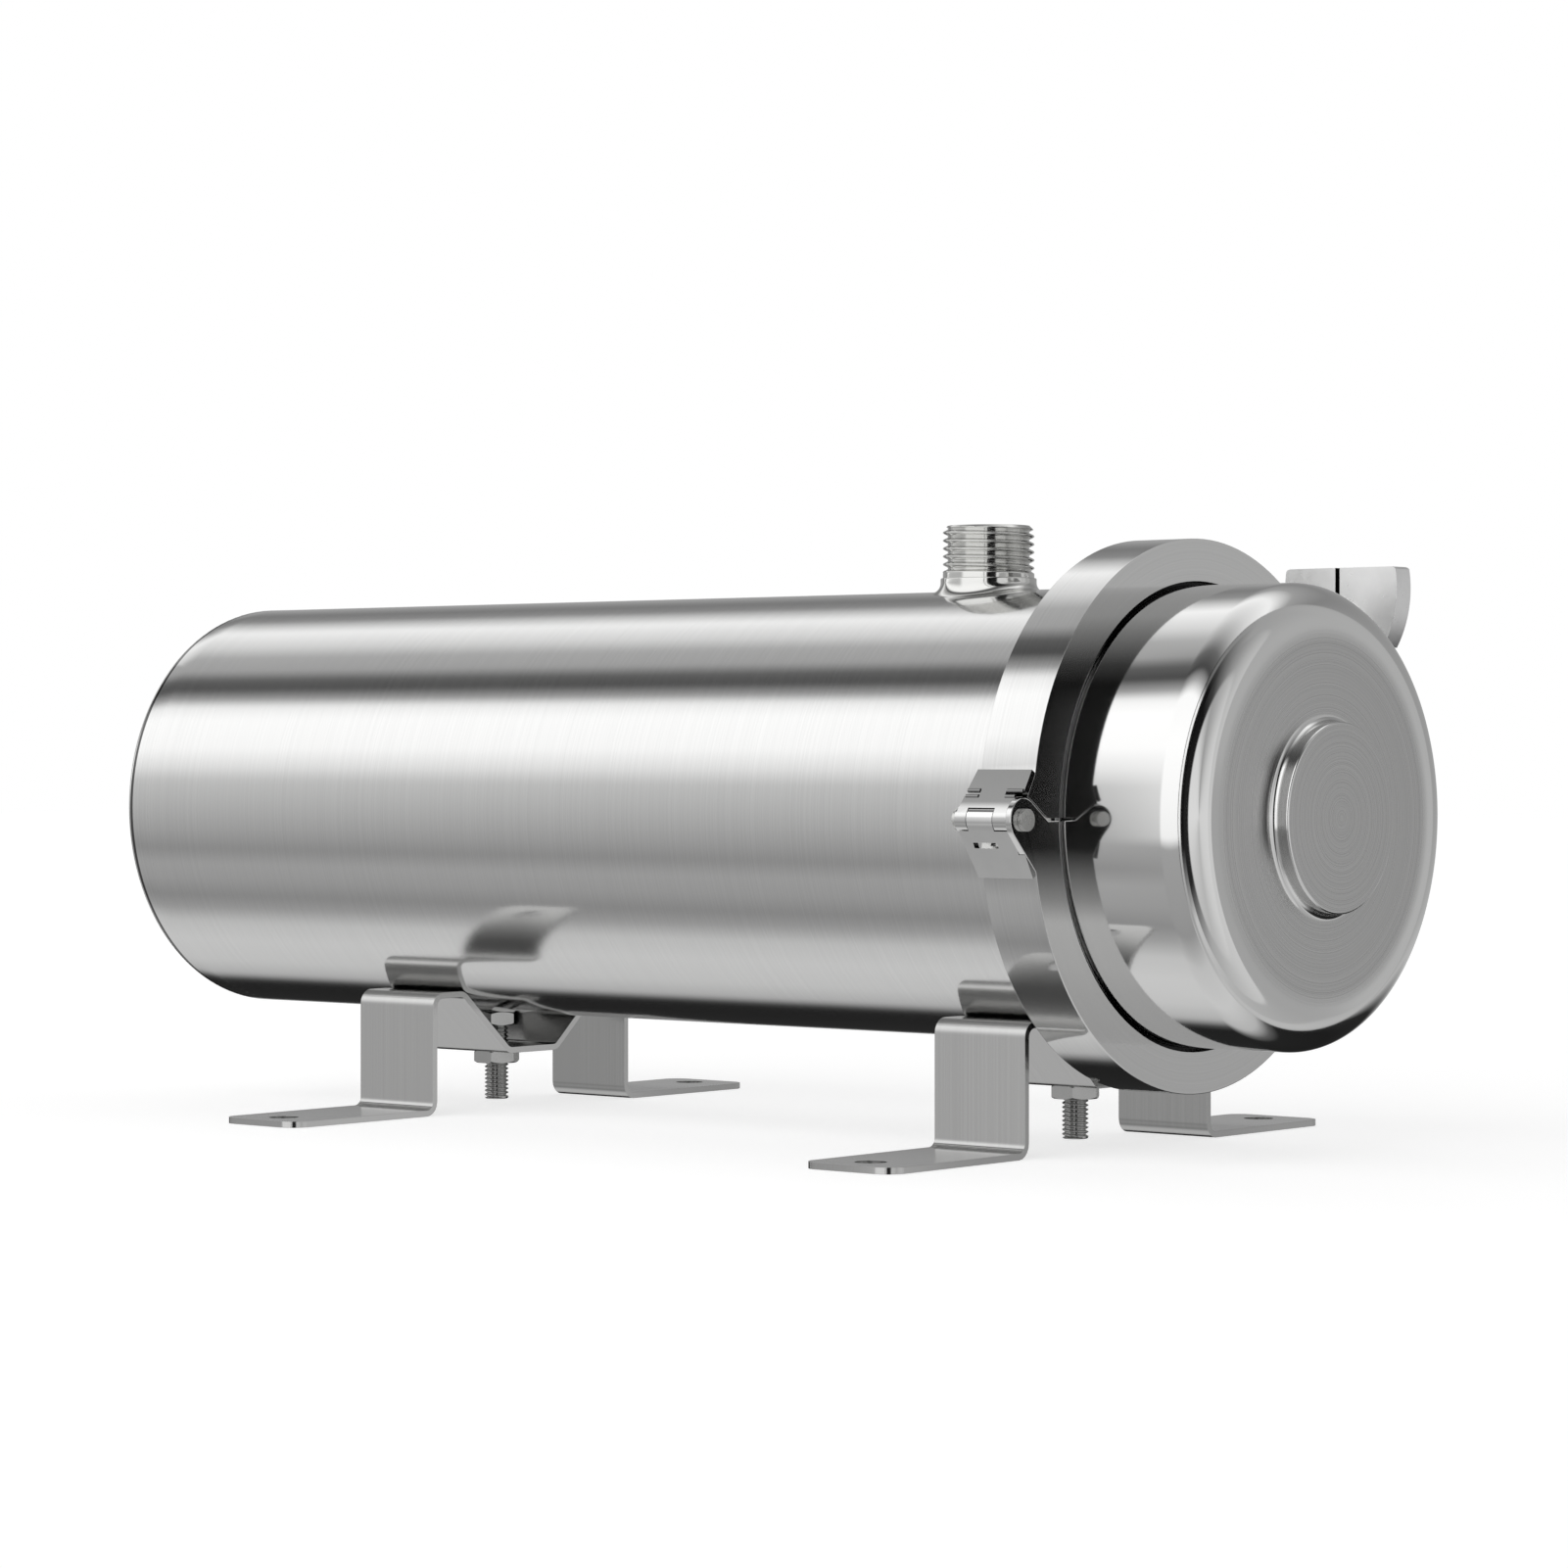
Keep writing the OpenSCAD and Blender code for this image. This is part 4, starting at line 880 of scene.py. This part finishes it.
# Brightness of the studio round the X axis, as (angle in degrees, grey of the print from 0 to 255).
# Angle 0 is level towards -Y, 90 is straight up and -90 is straight down.
REAR_LIGHTS = [
    (-180, 148), (-174, 160), (-170, 175), (-164, 42), (-128, 36), (-124, 60), (-117, 168), (-104, 188),
    (-86, 194), (-72, 186), (-62, 148), (-54, 132), (-44, 148), (-34, 154), (-25, 136), (-16, 152),
    (15, 188), (23, 222), (34, 250), (52, 255), (60, 238), (65, 150), (72, 74), (79, 92),
    (86, 158), (97, 164), (106, 206), (122, 238), (138, 128), (148, 112), (162, 140), (180, 148)]
SIDE_LIGHTS = [
    (-180, 148), (-174, 160), (-170, 172), (-162, 42), (-150, 34), (-128, 38), (-122, 90), (-114, 172),
    (-96, 192), (-72, 184), (-55, 140), (-40, 146), (-14, 152), (-9, 236), (8, 244), (34, 252),
    (58, 248), (65, 160), (72, 66), (82, 100), (92, 162), (105, 206), (122, 236), (135, 150),
    (150, 125), (168, 140), (180, 148)]
THIN_PANEL = [
    (-180, 154), (-150, 160), (-100, 172), (-80, 180), (-54, 186), (-42, 142), (-26, 92), (-16, 34),
    (-7, 24), (70, 24), (82, 60), (98, 110), (120, 150), (150, 156), (180, 164)]
BRIGHT_STRIP = [
    (-180, 168), (-150, 176), (-90, 180), (-50, 150), (-14, 170), (-8, 236), (56, 240), (68, 90),
    (90, 120), (120, 150), (180, 166)]
DARK_STRIP = [
    (-180, 195), (-150, 190), (-110, 175), (-80, 160), (-55, 110), (-38, 40), (62, 26), (80, 60),
    (110, 130), (150, 170), (180, 190)]
FRONT_LIGHTS = [
    (-180, 205), (-140, 195), (-90, 175), (-40, 190), (0, 212), (50, 205), (85, 150), (120, 170),
    (180, 205)]
# The tables from rear to front: each takes over from the one before it between two values of the
# direction's X, from -1 to 1.
LIGHT_BANDS = [
    (-0.62, -0.44, SIDE_LIGHTS), (0.415, 0.425, THIN_PANEL), (0.44, 0.45, BRIGHT_STRIP),
    (0.53, 0.54, THIN_PANEL), (0.66, 0.68, DARK_STRIP), (0.81, 0.85, FRONT_LIGHTS)]
# The world's strength, which a full white in a ramp stands for.
BRIGHTEST = 1.5
# A grey of the print, raised to this power and divided by the steel's own brightness, is the light that
# the steel has to mirror there.
GAMMA = 2.2
STEEL = 0.74


class PURIFIER_OT_stage(PieceOperator, bpy.types.Operator):
    """Builds the pale floor, the studio light and the camera"""

    bl_idname = "purifier.stage"
    bl_label = "Stage"

    def lights(self, g, angle, table):
        """A ramp over the angle round X, with the greys turned into light."""
        stops = [(a / 360 + 0.5, (v / 255) ** GAMMA / STEEL / BRIGHTEST) for a, v in table]
        return g.node("ShaderNodeValToRGB", {"stops": stops}, {0: angle})

    def world(self):
        """The studio's light for the object, and plain white where the camera looks past it."""
        world = bpy.data.worlds.new("studio")
        bpy.context.scene.world = world
        world.use_nodes = True
        g = Graph(world.node_tree)
        direction = g.node("ShaderNodeTexCoord", output="Generated")
        x, y, z = g.split(direction)
        angle = z.math("ARCTAN2", y * -1.0) / TURN + 0.5
        shade = self.lights(g, angle, REAR_LIGHTS)
        for start, end, table in LIGHT_BANDS:
            shade = g.blend(x.step(start, end), shade, self.lights(g, angle, table))
        light = g.node("ShaderNodeBackground", sockets={"Color": shade, "Strength": BRIGHTEST})
        white = g.node("ShaderNodeBackground", sockets={"Color": (1.0, 1.0, 1.0), "Strength": 1.0})
        seen = g.node("ShaderNodeLightPath", output="Is Camera Ray")
        mixed = g.node("ShaderNodeMixShader", sockets={0: seen, 1: light, 2: white})
        g.node("ShaderNodeOutputWorld", sockets={"Surface": mixed}, output=None)

    def floor(self, shade):
        """A floor that catches the object's shadow, glows for the camera and isn't mirrored in the metal."""
        half = 4.0
        corners = [(-half, -half, 0), (half, -half, 0), (half, half, 0), (-half, half, 0)]
        mesh = bpy.data.meshes.new("floor")
        mesh.from_pydata(corners, [], [(0, 1, 2, 3)])
        floor = bpy.data.objects.new("floor", mesh)
        bpy.context.scene.collection.objects.link(floor)
        material, g = new_graph("floor_pale")
        paper = g.node("ShaderNodeBsdfDiffuse", sockets={"Color": tuple(shade)})
        glow = g.node("ShaderNodeEmission", sockets={"Color": (1.0, 1.0, 1.0), "Strength": 0.70})
        path = g.node("ShaderNodeLightPath", output=None)
        seen, mirrored = Wire(g, path.outputs["Is Camera Ray"]), Wire(g, path.outputs["Is Glossy Ray"])
        lit = g.node("ShaderNodeAddShader", sockets={0: paper, 1: glow})
        base = g.node("ShaderNodeMixShader", sockets={0: seen, 1: paper, 2: lit})
        clear = g.node("ShaderNodeBsdfTransparent")
        final = g.node("ShaderNodeMixShader", sockets={0: mirrored, 1: base, 2: clear})
        g.node("ShaderNodeOutputMaterial", sockets={"Surface": final}, output=None)
        mesh.materials.append(material)

    def execute(self, context):
        stage = self.sizes(context).stage
        scene = context.scene
        self.world()
        self.floor(stage.floor)
        camera = bpy.data.objects.new("camera", bpy.data.cameras.new("camera"))
        camera.data.lens = stage.focal_length
        camera.data.sensor_width = 36
        camera.data.shift_y = stage.shift
        camera.data.clip_start = 0.01
        camera.location = stage.camera_place
        camera.rotation_euler = (math.pi / 2, 0, stage.camera_heading)
        scene.collection.objects.link(camera)
        scene.camera = camera
        scene.view_settings.view_transform = "Standard"
        return {"FINISHED"}


class PURIFIER_PT_sidebar(bpy.types.Panel):
    """Lists the pieces of the purifier and their sizes"""

    bl_label = "Purifier"
    bl_idname = "PURIFIER_PT_sidebar"
    bl_space_type = "VIEW_3D"
    bl_region_type = "UI"
    bl_category = "Purifier"

    def draw(self, context):
        settings = context.scene.purifier
        for operator in OPERATORS:
            self.layout.operator(operator.bl_idname)
        for group in (settings.housing, settings.cap, settings.port, settings.fastener, settings.finish,
                      settings.stage):
            box = self.layout.box()
            for key in group.__annotations__:
                box.prop(group, key)


GROUPS = (HousingSizes, CapSizes, PortSizes, FastenerSizes, Finishes, StageSettings, PurifierSettings)
OPERATORS = (
    PURIFIER_OT_stage, PURIFIER_OT_housing, PURIFIER_OT_ports, PURIFIER_OT_end_cap, PURIFIER_OT_clamp,
    PURIFIER_OT_latch, PURIFIER_OT_brackets, PURIFIER_OT_cartridge)
CLASSES = GROUPS + OPERATORS + (PURIFIER_PT_sidebar,)


def register():
    for item in CLASSES:
        bpy.utils.register_class(item)
    bpy.types.Scene.purifier = bpy.props.PointerProperty(type=PurifierSettings)


def unregister():
    del bpy.types.Scene.purifier
    for item in reversed(CLASSES):
        bpy.utils.unregister_class(item)


def main():
    register()
    bpy.ops.purifier.stage()
    bpy.ops.purifier.housing()
    bpy.ops.purifier.ports()
    bpy.ops.purifier.end_cap()
    bpy.ops.purifier.clamp()
    bpy.ops.purifier.latch()
    bpy.ops.purifier.brackets()
    bpy.ops.purifier.cartridge()


if __name__ == "__main__":
    main()
